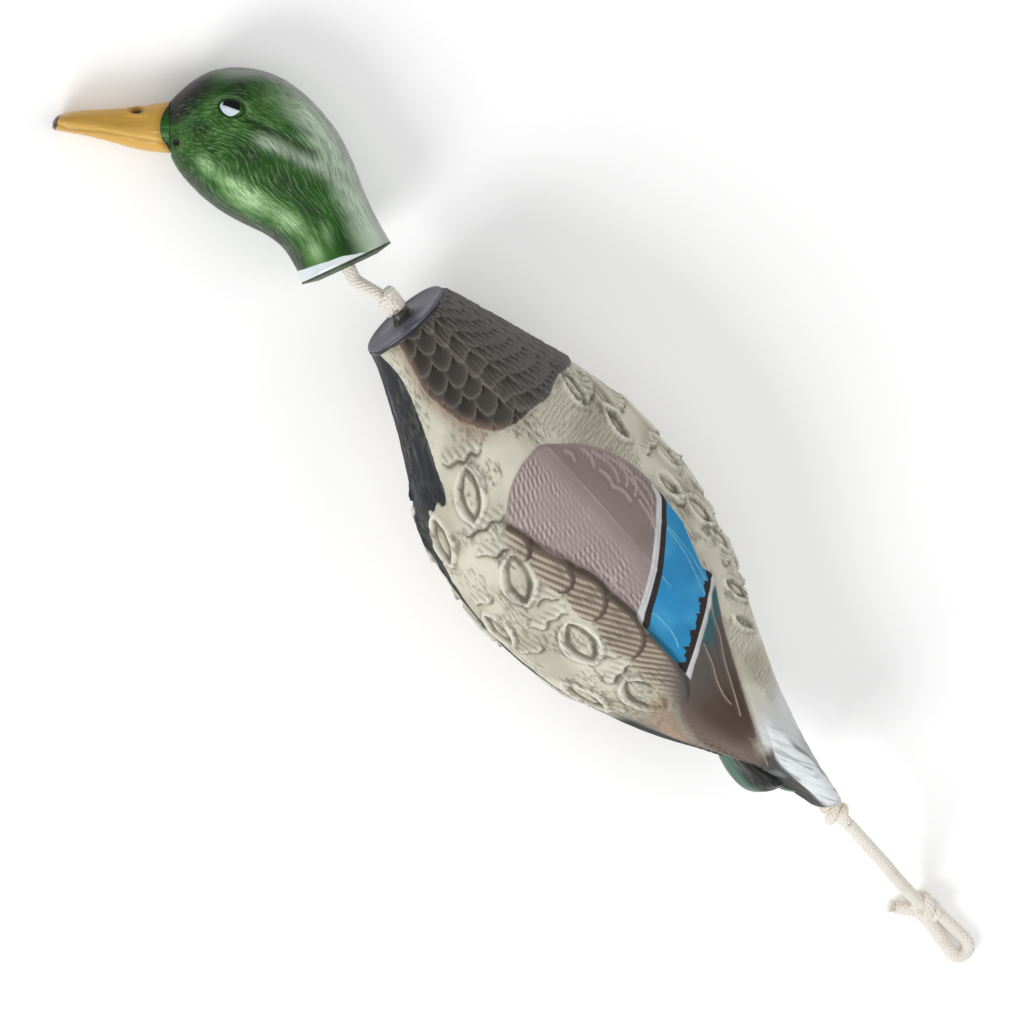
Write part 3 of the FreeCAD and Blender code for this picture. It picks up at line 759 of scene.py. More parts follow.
# shoulder feathers: overlapping tongues with a smooth rim and combed stripes
tan = np.zeros(s.shape)
rim_band = np.zeros(s.shape)
for rim, rest in reversed(SHOULDER_FEATHERS):
    gap = line_distance(rim)[0]
    inside = patch(rim + rest)
    on_feather = smooth_share(inside, -0.3, 0.5)
    surface = 0.55 + 1.1 * np.exp(-((gap - 1.6) / 1.5) ** 2) + \
        0.34 * stripes * smooth_share(gap, 2.8, 4.2) + 0.3 * smooth_share(-gap, -9, -3)
    fading = smooth_share(inside, 0.0, 1.2)
    height = height * (1 - on_feather) + surface * on_feather * (0.35 + 0.65 * fading)
    height -= 0.7 * np.exp(-(gap / 0.9) ** 2) * (inside < 0.2)
    tan = np.maximum(tan, on_feather)
    band = smooth_share(-gap, -3.0, -2.0) * smooth_share(inside, -0.2, 0.4)
    rim_band = rim_band * (1 - on_feather) + band * on_feather

# wing: a raised smooth plate with combed dashes, then the speculum and the long quills
height += 0.9 * smooth_share(wing, -0.2, 1.6) * (1 - tan)
stroke = (s * 0.97 + v * 0.24) / 4.0 + 0.5 * soft_noise(s / 6, v / 6, 20)
dash_row = np.floor(stroke)
dash_gap = np.abs(stroke - dash_row - 0.5)
dash = np.sin((v * 0.97 - s * 0.24) * math.tau / 2.2 + dash_row * 2.4
              + 1.2 * soft_noise(s / 5, v / 5, 25))
dash_zone = smooth_share(wing, 0.4, 1.4) * smooth_share(-psi, -86, -76)
dash_zone *= 0.35 + 0.65 * smooth_share(soft_noise(s / 6, v / 6, 21), -0.4, 0.2)
dash_zone *= smooth_share(-dash_gap, -0.46, -0.34)
height += 0.36 * dash * dash_zone
curl_lines = np.zeros(s.shape)
for places in WING_ARCS:
    gap = line_distance(places)[0]
    curl_lines = np.maximum(curl_lines, smooth_share(-gap, -1.0, -0.25))
    height += 0.45 * np.exp(-(gap / 0.7) ** 2)
    height -= 0.25 * np.exp(-((gap - 1.5) / 0.6) ** 2) * smooth_share(wing, 0, 1)
arc_hatch = np.sin((s * 0.80 - v * 0.60) * math.tau / 2.3)
arc_hatch_zone = smooth_share(wing, 0.4, 1.2) * smooth_share(-wing, -9.0, -5.0)
arc_hatch_zone = arc_hatch_zone * smooth_share(psi, 98, 103)
height += 0.16 * arc_hatch * arc_hatch_zone * smooth_share(-blue, 0, 1)
bar_across = (s - 146.0) * 0.633 + (v - on_skin([(146, 69)])[0][1]) * 0.774
near_bar = line_distance(NEAR_BAR, soft=False)[0]
far_gap = line_distance(FAR_BAR, soft=False)[0]
height += 0.55 * smooth_share(blue, -0.2, 1.4) + 0.35 * smooth_share(primary, -0.2, 1.4)
quill = np.full(s.shape, 9.0)
for places in QUILLS:
    gap = line_distance(places)[0]
    quill = np.minimum(quill, gap)
    height += 0.45 * np.exp(-(gap / 0.7) ** 2) - 0.3 * np.exp(-((gap - 1.5) / 0.7) ** 2)
blue_quill = np.full(s.shape, 9.0)
for places in BLUE_QUILLS:
    gap = line_distance(places)[0]
    blue_quill = np.minimum(blue_quill, gap)
    height += 0.3 * np.exp(-(gap / 0.7) ** 2)

# flash line of the mould, tail feathers and the hairs of the dark back strip
flash = np.abs((psi - 90.0)) * math.pi / 180.0 * radius
flash_zone = smooth_share(s, 138, 146)
height += flash_zone * 0.4 * np.exp(-(flash / 0.5) ** 2)
hairs = soft_noise(s / 9.0, v / 0.75, 22, 256) + 0.6 * soft_noise(s / 5.0, v / 0.5, 23, 256)
height += 0.20 * hairs * smooth_share(strip, 0, 1) - 0.5 * smooth_share(strip, -0.3, 1.2)
tail_zone = smooth_share(-s, -64, -48)
white_feather = patch(WHITE_FEATHER)
tail_ribs = np.abs(np.sin(v * math.pi / 5.2 + s * 0.02))
height += 1.1 * smooth_share(white_feather, -0.4, 1.6) * smooth_share(-s, -66, -44)
height += tail_zone * (0.75 * tail_ribs ** 0.5 - 0.5 + 0.14 * hairs) * smooth_share(s, 0, 8)
rump = smooth_share(-psi, -46, -34) * smooth_share(-s, -106, -96)
height += rump * 0.3 * np.sin(v * math.tau / 3.4 + s * 0.08) * smooth_share(s, 45, 60)
fringe = smooth_share(-primary, 0.0, 0.6) * smooth_share(primary, -9, -6)
fringe = fringe * smooth_share(-psi, -62, -58)
height += 0.28 * np.sin(s * math.tau / 3.4 + v * 0.5) * fringe * smooth_share(-s, -104, -96)
height *= smooth_share(s, 0.0, 3.0) * smooth_share(-s, -303.2, -300.5)

# paint: soft airbrushed ground first
def tone(colour, over=s):
    """One even colour over a whole grid of the skin."""
    return np.broadcast_to(paint(*colour), over.shape + (3,)).copy()


def brush(ground, *coats):
    """Coats of paint laid over a ground in turn, each a colour and how much it covers."""
    for colour, share in coats:
        share = np.clip(share, 0, 1)[:, :, None]
        ground = ground * (1 - share) + paint(*colour) * share
    return ground


# Crests and hollows of the relief, for the painted highlights and painted shade in the ground
blur = height.copy()
for _ in range(3):
    blur = (np.roll(blur, 1, 1) + np.roll(blur, -1, 1) + 2 * blur) / 4
    blur[1:-1] = (blur[:-2] + blur[2:] + 2 * blur[1:-1]) / 4
wide = blur.copy()
for _ in range(10):
    wide = (np.roll(wide, 2, 1) + np.roll(wide, -2, 1) + 2 * wide) / 4
    wide[2:-2] = (wide[:-4] + wide[4:] + 2 * wide[2:-2]) / 4
hollow = np.clip(wide - blur, 0, None)
crest_highlight = np.clip(blur - wide, 0, None)
fine_hollow = np.clip(blur - height, 0, None)

# The ground also holds painted light: lighter on the relief's crests (painted highlight), darker in
# its hollows, the stipple's fine grooves and the feather pockets (painted shade).
ground = brush(
    tone((204, 201, 184)),
    ((184, 180, 162), smooth_share(soft_noise(s / 16, v / 16, 51), -0.3, 0.6)),
    ((222, 220, 206), 0.8 * smooth_share(crest_highlight, 0.15, 0.7)),
    ((104, 101, 84), 0.62 * smooth_share(hollow, 0.14, 0.70)),
    ((74, 73, 58), 0.75 * pocket_shade * cream),
    ((96, 94, 78), 0.55 * smooth_share(fine_hollow, 0.02, 0.10) * engraved),
    ((104, 102, 86), 0.55 * combed * smooth_share(-stripes, 0.1, 0.9)),
    ((124, 121, 104), 0.3 * worm_zone * smooth_share(-worms, 0.2, 0.95)),
    ((142, 122, 104), 0.55 * smooth_share(-wing, -1, 9) * smooth_share(wing, -9, -1)
     * smooth_share(-psi, -66, -52)),
    ((150, 124, 104), 0.6 * smooth_share(breast, -7, -0.5) * (breast < 0.5)
     * smooth_share(-psi, -80, -62)))
strand = 0.5 + 0.5 * stripes
tan_paint = brush(
    tone((198, 184, 166)),
    ((84, 73, 64), 0.9 * smooth_share(1 - strand, 0.15, 0.9)),
    ((80, 68, 60), rim_band * 0.95))
belly_side = smooth_share(v - on_skin([(150, 52)])[0][1], -9, 8)
tan_paint = brush(tan_paint, ((118, 103, 92), 0.4 * belly_side))
ground = ground * (1 - tan[:, :, None]) + tan_paint * tan[:, :, None]
ground = brush(
    ground,
    ((196, 188, 170), 0.8 * tan * smooth_share(-v + on_skin([(150, 46)])[0][1], -3, 6)))
joint_band = smooth_share(-np.abs(wing + 0.6), -2.6, -1.0) * smooth_share(-psi, -70, -67)
joint_band = joint_band * smooth_share(s, 142, 147) * smooth_share(-s, -222, -214)
ground = brush(ground, ((94, 82, 74), 0.95 * joint_band))
rump_share = smooth_share(-psi, -60, -40) * smooth_share(-s, -112, -92)
rump_share = rump_share * smooth_share(-primary, -3, 3)
rump_ribs = 0.5 + 0.5 * np.sin(v * math.tau / 3.4 + s * 0.08)
ground = brush(
    ground,
    ((144, 129, 116), 0.85 * rump_share),
    ((88, 79, 72), 0.45 * rump_share * rump_ribs))
fringe_soft = smooth_share(-np.abs(primary + 4.5), -5, -2) * smooth_share(-psi, -66, -50) * (s < 108)
ground = brush(
    ground,
    ((172, 148, 124), 0.55 * fringe_soft),
    ((52, 62, 58), smooth_share(-psi, -20, -13) * smooth_share(-s, -112, -98)))
white_tail = smooth_share(-s, -80, -50) * smooth_share(psi, 60, 74)
ground = brush(
    ground,
    ((204, 207, 208), 0.92 * white_tail),
    ((66, 68, 68), 0.95 * smooth_share(-white_feather, -0.6, 0.6) * smooth_share(-psi, -80, -70)
     * smooth_share(-s, -50, -42)),
    ((128, 130, 131), 0.75 * smooth_share(-np.abs(s - 31 + (psi - 45) * 0.12), -4.5, -2.0)
     * smooth_share(-psi, -62, -54) * smooth_share(psi, 18, 28)))
on_white = smooth_share(white_feather, -0.4, 0.8) * smooth_share(-s, -70, -46)
ground = brush(ground, ((222, 226, 228), on_white))
streak = smooth_share(hairs, 0.2, 0.8)
ground = brush(
    ground,
    ((140, 147, 150), 0.75 * on_white * streak),
    ((104, 110, 112), 0.7 * smooth_share(-np.abs(white_feather), -1.5, -0.4)
     * smooth_share(-s, -46, -36)),
    # painted shade: light grey on the belly side of the white tail feather
    ((150, 153, 154), 0.55 * smooth_share(-white_feather, 0, 2) * smooth_share(psi, 92, 104)
     * smooth_share(-s, -44, -30)))

# Breast feathers shaded in paint: painted shade at each base under the feather in front, lighter
# towards its own rim, and a painted highlight along the rim.
breast_paint = brush(
    tone((74, 69, 65)),
    ((56, 51, 48), smooth_share(-psi, -92, -62)),
    ((94, 93, 90), smooth_share(psi, 96, 128)),
    ((98, 93, 88), 0.5 * smooth_share(scale_top, 0.55, 1.0) * (scale_top > 0)),
    ((120, 116, 110), 0.45 * scale_edge * (scale_top > 0)),
    ((38, 34, 32), 0.75 * (1 - smooth_share(scale_top, 0.05, 0.55))),
    ((122, 121, 117), 0.5 * smooth_share(barbs, 0.2, 0.9) * smooth_share(psi, 84, 104)
     * smooth_share(scale_top, 0.4, 0.7)),
    ((128, 104, 88), 0.6 * smooth_share(-breast, -4.0, -0.5) * smooth_share(-psi, -90, -70)))

strip_paint = brush(
    tone((50, 52, 56)),
    ((96, 99, 103), smooth_share(hairs, 0.3, 1.1)),
    ((38, 40, 44), smooth_share(-hairs, 0.2, 0.9)),
    ((44, 66, 66), 0.5 * smooth_share(-s, -190, -140)))

wing_paint = brush(
    tone((156, 141, 138)),
    ((135, 119, 116), smooth_share(psi, 80, 96)),
    ((196, 182, 178), 0.9 * smooth_share(dash, 0.0, 0.8) * dash_zone),
    ((108, 92, 90), 0.75 * smooth_share(-dash, 0.1, 0.8) * dash_zone),
    ((180, 165, 161), 0.65 * curl_lines),
    ((168, 152, 149), 0.5 * arc_hatch_zone * smooth_share(arc_hatch, 0.2, 0.9)),
    ((170, 150, 146), 0.6 * smooth_share(-wing, -2.6, -0.5) * smooth_share(psi, 90, 100)),
    ((104, 88, 84), 0.5 * smooth_share(-wing, -4.0, -0.3) * smooth_share(-psi, -72, -66)
     * smooth_share(-s, -215, -205)))

blue_paint = brush(
    tone((44, 136, 188)),
    ((60, 152, 200), smooth_share(soft_noise(s / 9, v / 9, 61), -0.2, 0.8)),
    ((30, 104, 128), smooth_share(-blue, -4.0, -0.4) * smooth_share(-psi, -84, -72)))

primary_paint = brush(tone((92, 86, 82)), ((78, 64, 55), smooth_share(-s, -110, -80)))
teal = smooth_share(-far_gap, -8.0, -2.0) * smooth_share(psi, 80, 88)
primary_paint = brush(
    primary_paint,
    ((44, 100, 106), 0.75 * teal),
    ((112, 98, 90), 0.9 * smooth_share(-s, -66, -48)),
    ((120, 106, 97), 0.8 * smooth_share(-psi, -60, -36)))
fringe_lines = smooth_share(np.sin(s * math.tau / 3.2 + v * 0.35), 0.1, 0.9)
fringe_lines = fringe_lines * smooth_share(-psi, -40, -30)
primary_paint = brush(
    primary_paint,
    ((70, 60, 54), 0.7 * fringe_lines * smooth_share(-s, -76, -66)))


def skin_mesh(name, points, low_end, high_end, layers, colours):
    """Closed mesh from a grid, its ends drawn in to a middle point, with its paint attributes."""
    rows, columns = points.shape[:2]
    rings = [points[row] for row in range(rows)]
    rings = [low_end + (rings[0] - low_end) * 0.6] + rings
    rings = rings + [high_end + (rings[-1] - high_end) * 0.5]
    vertices = np.concatenate([low_end[None]] + rings + [high_end[None]]) * MM
    last = 1 + (rows + 1) * columns
    faces = ring_quads(rows + 1, columns, 1)
    faces += [(0, 1 + (c + 1) % columns, 1 + c) for c in range(columns)]
    faces += [(len(vertices) - 1, last + c, last + (c + 1) % columns) for c in range(columns)]
    made = mesh_object(name, vertices.tolist(), faces)
    mesh = made.data

    def spread(values):
        """The grid's values, with its first and last row carried on over the closed ends."""
        body = values.reshape(-1, *values.shape[2:])
        return np.concatenate([values[0, :1], values[0], body, values[-1], values[-1, :1]])

    for layer, values in layers.items():
        attribute = mesh.attributes.new(layer, "FLOAT", "POINT")
        attribute.data.foreach_set("value", spread(values).astype(np.float32))
    for layer, values in colours.items():
        attribute = mesh.attributes.new(layer, "FLOAT_COLOR", "POINT")
        packed = np.concatenate([spread(values), np.ones((len(vertices), 1))], 1)
        attribute.data.foreach_set("color", packed.astype(np.float32).ravel())
    return made


def outward(piece):
    """Turns the mesh's faces so that they all point out."""
    work = bmesh.new()
    work.from_mesh(piece.data)
    bmesh.ops.recalc_face_normals(work, faces=work.faces)
    work.to_mesh(piece.data)
    work.free()


def foam_place(points):
    """Body stations to the lying position; the foam is pressed flat where it rests."""
    world = tail_end + points[..., 0:1] * rope_line + points[..., 1:2] * duck_back + \
        points[..., 2:3] * duck_right
    world[..., 2] = np.maximum(world[..., 2], 0.0)
    return world


skin_points = foam_place(base + normals * height[:, :, None])
body_foam = skin_mesh(
    "body_foam_skin", skin_points, foam_place(np.array((0.4, 0.0, 0.0))),
    foam_place(np.array((FOAM_LENGTH, 0.0, 0.0))),
    {"strip": strip, "breast": breast, "wing": wing, "blue": blue, "primary": primary_share,
     "near_bar": near_bar, "far_bar": far_gap, "bar_across": bar_across,
     "flash": flash + 9 * (1 - flash_zone), "quill": quill, "blue_quill": blue_quill,
     "engraved": engraved, "worms": worm_zone},
    {"ground": ground, "breast_paint": breast_paint, "strip_paint": strip_paint,
     "wing_paint": wing_paint, "blue_paint": blue_paint, "primary_paint": primary_paint})
outward(body_foam)


def foam_finish():
    foam = Finish("painted_foam", 0.72, Specular_IOR_Level=0.22)
    grain = foam.noise(900.0, 4.0)
    rough_edge = foam.math("MULTIPLY", foam.math("SUBTRACT", foam.noise(420.0, 2.0), 0.5), 0.9)

    def inside(layer, soft=0.25, ragged=1.0):
        distance = foam.attribute(layer)
        shaken = foam.math("MULTIPLY_ADD", rough_edge, ragged, distance)
        return foam.span(shaken, -soft, soft)

    colour = foam.attribute("ground", "Color")
    colour = foam.mix(inside("breast", 0.5, 1.5), colour, foam.attribute("breast_paint", "Color"))
    colour = foam.mix(inside("primary", 0.6, 0.5), colour, foam.attribute("primary_paint", "Color"))
    colour = foam.mix(inside("strip", 0.3, 1.6), colour, foam.attribute("strip_paint", "Color"))
    colour = foam.mix(inside("wing", 0.3, 0.4), colour, foam.attribute("wing_paint", "Color"))
    in_blue = inside("blue", 0.3, 0.4)
    across = foam.attribute("bar_across")
    teeth = foam.node("TexNoise", {"W": across, "Scale": 0.22, "Detail": 1.0},
                      noise_dimensions="1D").outputs["Fac"]
    jag = foam.math("MULTIPLY", foam.math("FRACT", foam.math("MULTIPLY", across, 0.12)), 2.6)
    black_end = foam.math("ADD", foam.math("MULTIPLY_ADD", teeth, 4.0, 2.2), jag)

    def line(layer, wide, soft=0.15):
        return foam.span(foam.attribute(layer), wide - soft, wide + soft, 1.0, 0.0)

    colour = foam.mix(in_blue, colour, foam.attribute("blue_paint", "Color"))
    pale_blue = foam.math("MAXIMUM", line("blue_quill", 0.35), line("flash", 0.3))
    pale_blue = foam.math("MULTIPLY", pale_blue, in_blue)
    colour = foam.mix(foam.math("MULTIPLY", pale_blue, 0.75), colour, paint(124, 188, 210))
    in_far = foam.span(foam.math("SUBTRACT", black_end, foam.attribute("far_bar")), -0.15, 0.15)
    black = foam.math("MAXIMUM", line("near_bar", 6.2), in_far)
    colour = foam.mix(foam.math("MULTIPLY", black, in_blue), colour, paint(48, 42, 42))
    white = foam.math("MAXIMUM", line("near_bar", 3.3), line("far_bar", 2.3))
    white = foam.math("MULTIPLY", white, in_blue)
    colour = foam.mix(white, colour, paint(200, 201, 200))
    quills = foam.math("MULTIPLY", line("quill", 0.3), 0.8)
    colour = foam.mix(quills, colour, paint(158, 143, 130))
    on_flash = foam.math("MULTIPLY", line("flash", 0.28),
                         foam.math("SUBTRACT", 0.8, in_blue, clamp=True))
    on_flash = foam.math("MULTIPLY", on_flash,
                         foam.span(foam.attribute("breast"), -1.0, 1.0, 0.9, 0.3))
    colour = foam.mix(on_flash, colour, paint(178, 166, 158))
    strokes = foam.span(foam.noise(620.0, 2.0, (0.24, 1.0, 1.0)), 0.50, 0.62)
    strokes = foam.math("MULTIPLY", strokes, foam.attribute("engraved"))
    colour = foam.mix(foam.math("MULTIPLY", strokes, 0.5), colour, paint(98, 95, 78))
    waves = {"Vector": foam.place((1.0, 0.3, 0.3)), "Scale": 150.0, "Distortion": 7.0,
             "Detail": 2.0, "Detail Scale": 1.4}
    ripple = foam.node("TexWave", waves).outputs["Fac"]
    ripple = foam.math("MULTIPLY", ripple, foam.attribute("worms"))
    colour = foam.mix(foam.math("MULTIPLY", foam.span(ripple, 0.55, 0.9), 0.25), colour,
                      paint(98, 96, 80))
    mottle = foam.span(foam.noise(55.0, 4.0), 0.3, 0.7, 0.90, 1.08)
    colour = foam.mix(1.0, colour, foam.node("CombineColor", {0: mottle, 1: mottle, 2: mottle})
                      .outputs[0], "MULTIPLY")
    foam.set("Base Color", colour)
    foam.set("Roughness", foam.span(grain, 0.3, 0.7, 0.58, 0.80))
    relief = foam.math("MULTIPLY_ADD", grain, 0.25, foam.math("MULTIPLY", strokes, -0.8))
    relief = foam.math("MULTIPLY_ADD", ripple, -0.9, relief)
    foam.bump(relief, 0.0005, 0.6)
    return foam.material


body_foam.data.materials.append(foam_finish())
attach(body_foam, "body")
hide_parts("body_foam")

# ---- curled tail feathers ----------------------------------------------------------------------
# Two black curls moulded in one with the foam on the back of the tail, the small one behind the big
# one, painted black with a painted dark green sheen along the top.


def tail_curl(name, stations):
    """One curl through stations of (along, up from the rope's line, half thick, half wide)."""
    stations = np.array(stations, float)
    columns = 40
    shares = np.linspace(0, 1, 44)
    weights = cubic_along(len(stations), shares)
    rings = []
    for x, y, thick, wide in weights @ stations:
        turns = np.arange(columns) * math.tau / columns
        ripple = 1.0 + 0.035 * np.cos(turns * 9)
        rings.append(np.stack([x - np.cos(turns) * thick * 0.35, y + np.cos(turns) * thick * ripple,
                               np.sin(turns) * wide * ripple], 1))
    rings = np.array(rings)
    edge = np.broadcast_to(np.cos(np.arange(columns) * math.tau / columns), rings.shape[:2])
    curl = skin_mesh(name, foam_place(rings), foam_place(rings[0].mean(0)),
                     foam_place(rings[-1].mean(0)), {"edge": edge}, {})
    outward(curl)
    return curl


def curl_finish():
    curl = Finish("curl_black", 0.5, Coat_Weight=0.15)
    streaks = curl.noise(700.0, 3.0, (0.12, 1.0, 1.0))
    colour = curl.mix(curl.span(streaks, 0.45, 0.75), paint(40, 40, 38), paint(84, 90, 88))
    # painted sheen: dark green along the curl's top side, broken up by noise
    sheen = curl.math("ADD", curl.attribute("edge"), curl.math("MULTIPLY", curl.noise(90.0, 3.0), 0.9))
    colour = curl.mix(curl.span(sheen, 1.0, 1.25, 0.0, 0.75), colour, paint(58, 104, 88))
    curl.set("Base Color", colour)
    curl.bump(streaks, 0.0003, 0.5)
    return curl.material


curl_material = curl_finish()
BIG_CURL = ((70, 15, 1, 3), (58, 18, 4, 7), (46, 19.5, 6, 10), (36, 19.5, 6.6, 11),
            (27, 16.5, 6, 10), (21, 11, 3, 6), (20, 8, 1, 3))
SMALL_CURL = ((44, 10, 2, 4), (34, 11.5, 4, 7), (25, 10.5, 4, 7.5), (16, 8, 3.4, 6), (11, 5, 1.6, 3))
for curl in (tail_curl("tail_curl_big", BIG_CURL), tail_curl("tail_curl_small", SMALL_CURL)):
    curl.data.materials.append(curl_material)
    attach(curl, "body")

# ---- neck disc, its glue line and the rope tube ------------------------------------------------
# A thin dark plastic disc is glued into the end of the neck; some black glue has been squeezed out
# round its rim and round the tube, which carries the rope right through the foam.


def plastic_finish(name, deep, pale, roughness):
    plastic = Finish(name, roughness)
    cloud = plastic.noise(95.0, 5.0)
    scuffs = plastic.span(plastic.noise(520.0, 3.0, (1.0, 0.3, 1.0)), 0.60, 0.72)
    colour = plastic.mix(cloud, paint(*deep), paint(*pale))
    colour = plastic.mix(plastic.math("MULTIPLY", scuffs, 0.4), colour, paint(150, 148, 156))
    plastic.set("Base Color", colour)
    plastic.set("Roughness", plastic.span(cloud, 0.3, 0.7, roughness - 0.08, roughness + 0.1))
    plastic.bump(plastic.noise(1400.0, 3.0), 0.0001, 0.4)
    return plastic.material


def turned_part(name, outline, columns=96, wobble=0.0, seed=1):
    """Part turned about the rope's line from an outline of (station, radius) places."""
    turns = np.arange(columns) * math.tau / columns
    rings = []
    for at, reach in outline:
        shake = 1.0 + wobble * soft_noise(turns * 6.0, np.full(columns, at * 0.7), seed)
        rings.append(np.stack([np.full(columns, at), np.cos(turns) * reach * shake,
                               np.sin(turns) * reach * shake], 1))
    rings = foam_place(np.array(rings))
    vertices = (rings.reshape(-1, 3) * MM).tolist()
    faces = [tuple(corner % len(vertices) for corner in quad)
             for quad in ring_quads(len(outline), columns)]
    made = mesh_object(name, vertices, faces)
    outward(made)
    return made


disc = turned_part("neck_disc_plate", (
    (303.35, 4.6), (303.35, 20.6), (303.6, 21.0), (304.6, 21.0), (304.95, 20.7),
    (BODY_LENGTH, 19.4), (304.7, 18.9), (304.7, 8.2), (305.1, 7.6), (305.1, 4.6)))
disc.data.materials.append(plastic_finish("disc_plastic", (70, 68, 84), (108, 105, 122), 0.42))
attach(disc, "body")
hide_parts("neck_disc")

glue_finish = plastic_finish("black_glue", (22, 22, 20), (46, 45, 40), 0.38)
glue = turned_part("neck_glue_line", ((302.2, 20.9), (302.5, 21.35), (303.2, 21.5), (303.9, 21.3),
                                      (304.1, 20.8), (303.2, 20.4)), 180, 0.016, 8)
glue.data.materials.append(glue_finish)
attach(glue, "body")

TUBE_BORE, TUBE_OUTER = 7.2, 9.0
TUBE_MOUTH = BODY_LENGTH + TUBE_PROUD
tube = turned_part("core_tube_end", (
    (12.5, TUBE_BORE / 2.0), (12.5, TUBE_OUTER / 2.0), (304.0, TUBE_OUTER / 2.0),
    (TUBE_MOUTH - 0.6, TUBE_OUTER / 2.0), (TUBE_MOUTH - 0.1, 4.3), (TUBE_MOUTH, 4.0),
    (TUBE_MOUTH - 0.2, 3.7), (TUBE_MOUTH - 1.5, TUBE_BORE / 2.0)), 64, 0.006, 4)
tube.data.materials.append(plastic_finish("tube_black", (30, 30, 26), (58, 57, 50), 0.35))
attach(tube, "body")
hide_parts("core_tube")
tube_glue = turned_part("tube_glue_line", ((304.6, 4.4), (304.6, 6.3), (305.5, 5.5), (306.4, 4.8),
                                           (306.9, 4.4)), 96, 0.10, 9)
tube_glue.data.materials.append(glue_finish)
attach(tube_glue, "body")


def finished(node, material):
    """Gives its real finish to a piece that keeps its designed shape."""
    materials = frame["nodes"][node].data.materials
    materials.clear()
    materials.append(material)


finished("core_rope", cotton)

# ---- front knot and neck rope ------------------------------------------------------------------
# The rope comes out of the tube into a round stopper knot, then runs free and limp to the head. Two
# knots hold it, so body and head can swing and turn against each other.
bend_at = np.array(joints["rope_bend_at_head"]["pos_m"]) * METRE
head_base = np.array(joints["head_turn"]["pos_m"]) * METRE
neck_up = np.array(joints["head_turn"]["axis"])
front_knot = joined("front_knot_tied",
                    pulled_knot("wrap_c", front_knot_at, rope_line, 12.0, 12.4, 200, 5.0, 1.8),
                    pulled_knot("wrap_d", front_knot_at, np.cross(rope_line, (0.3, 0.5, 1.0)),
                                11.6, 11.0, 40, 4.6, 1.2))
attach(front_knot, "knot")
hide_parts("front_knot")

neck_rope = braided("neck_rope_braid", [
    front_knot_at + (bend_at - front_knot_at) * 0.12,
    front_knot_at + (bend_at - front_knot_at) * 0.45,
    front_knot_at + (bend_at - front_knot_at) * 0.80,
    bend_at, bend_at + neck_up * 4.0, head_base + neck_up * 4.0])[0]
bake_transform(neck_rope)
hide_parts("neck_rope_lower", "neck_rope_upper")

# ---- head --------------------------------------------------------------------------------------
# A hard hollow moulding with combed feather hairs, sprayed pearl green over black, with a white
# ring at the neck.
HEAD_HEIGHT = 100.0
HEAD_WIDTH = 45.0
HEAD_SECTIONS = (
    (0.13, -0.198, 0.12, 0.200, 0.84), (0.29, -0.205, 0.24, 0.240, 0.87),
    (0.47, -0.224, 0.38, 0.375, 0.97), (0.67, -0.180, 0.53, 0.455, 1.00),
    (0.785, -0.130, 0.62, 0.483, 0.99), (0.885, -0.060, 0.68, 0.495, 0.96),
    (0.965, 0.050, 0.715, 0.498, 0.90), (1.010, 0.170, 0.738, 0.497, 0.80),
    (1.000, 0.290, 0.748, 0.493, 0.66),
)
BILL_ROOT = ((0.955, 0.398), (0.752, 0.487))


def middle_of(node):
    low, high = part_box(node)
    return (np.array(low) + np.array(high)) * 500.0


duck_left = middle_of("eye_left") - middle_of("eye_right")
duck_left /= np.linalg.norm(duck_left)
bill_wise = np.cross(duck_left, neck_up)
bill_wise /= np.linalg.norm(bill_wise)
duck_left = np.cross(neck_up, bill_wise)


def head_place(points):
    """Head's own places (up the neck, towards the bill, to the duck's left) as it lies."""
    return head_base + points[..., 0:1] * neck_up + points[..., 1:2] * bill_wise + \
        points[..., 2:3] * duck_left


def chord_oval(top, bottom, half_wide):
    """Ring of net corners across the head, from its top and bottom edge and its half width."""
    top, bottom = np.array((*top, 0.0)), np.array((*bottom, 0.0))
    return net_oval((top + bottom) / 2, (top - bottom) / 2, np.array((0, 0, half_wide)))


head_ovals = [chord_oval((0, -21.5), (0, 21.5), 19.5)]
for up_a, out_a, up_b, out_b, wide_share in HEAD_SECTIONS:
    head_ovals.append(chord_oval((up_a * 100, out_a * 100), (up_b * 100, out_b * 100),
                                 wide_share * HEAD_WIDTH / 2))
root_top, root_bottom = np.array(BILL_ROOT) * HEAD_HEIGHT
head_ovals.append(chord_oval(root_top, root_bottom, 11.5))
HEAD_ROWS, HEAD_COLUMNS = 300, 300
head_base_points = net_surface(head_ovals, np.linspace(0, 1, HEAD_ROWS),
                               np.arange(HEAD_COLUMNS) / HEAD_COLUMNS)
head_normals = grid_normals(head_base_points)
hu, hw, hz = (head_base_points[:, :, axis] for axis in range(3))
flow_u = np.linspace(0, 1, HEAD_ROWS)[:, None] * np.ones(HEAD_COLUMNS) * 130.0
round_mm = np.arange(HEAD_COLUMNS)[None, :] / HEAD_COLUMNS * 130.0 * np.ones((HEAD_ROWS, 1))
mirror_round = np.abs(round_mm - 65.0)
bend_hair = 2.4 * np.sin(flow_u / 17.0 + mirror_round / 21.0)
bend_hair = bend_hair + 1.2 * np.sin(flow_u / 7.0 + mirror_round / 9.0)
hair = soft_noise(flow_u / 4.6, (mirror_round + bend_hair) / 0.85, 71, 256)
hair = hair + 0.5 * soft_noise(flow_u / 8.0, (mirror_round + bend_hair) / 1.6, 72, 256)
forehead_bare = smooth_share(hu - hw * 0.15, 84, 92)
hair_zone = smooth_share(hu, 6, 12) * (1 - 0.75 * forehead_bare)
head_height = 0.15 * hair * (1 - 0.6 * forehead_bare) * smooth_share(hu, 5.5, 9.0)
head_height *= 0.55 + 0.45 * smooth_share(soft_noise(flow_u / 15, mirror_round / 15, 73), -0.4, 0.3)


def head_segment(a, b):
    """Distance to a straight line on the head's side, and the share of the way along it."""
    d = np.array(b) - np.array(a)
    length = np.hypot(*d)
    t = np.clip(((hu - a[0]) * d[0] + (hw - a[1]) * d[1]) / length ** 2, 0, 1)
    return np.hypot(hu - a[0] - t * d[0], hw - a[1] - t * d[1]), t


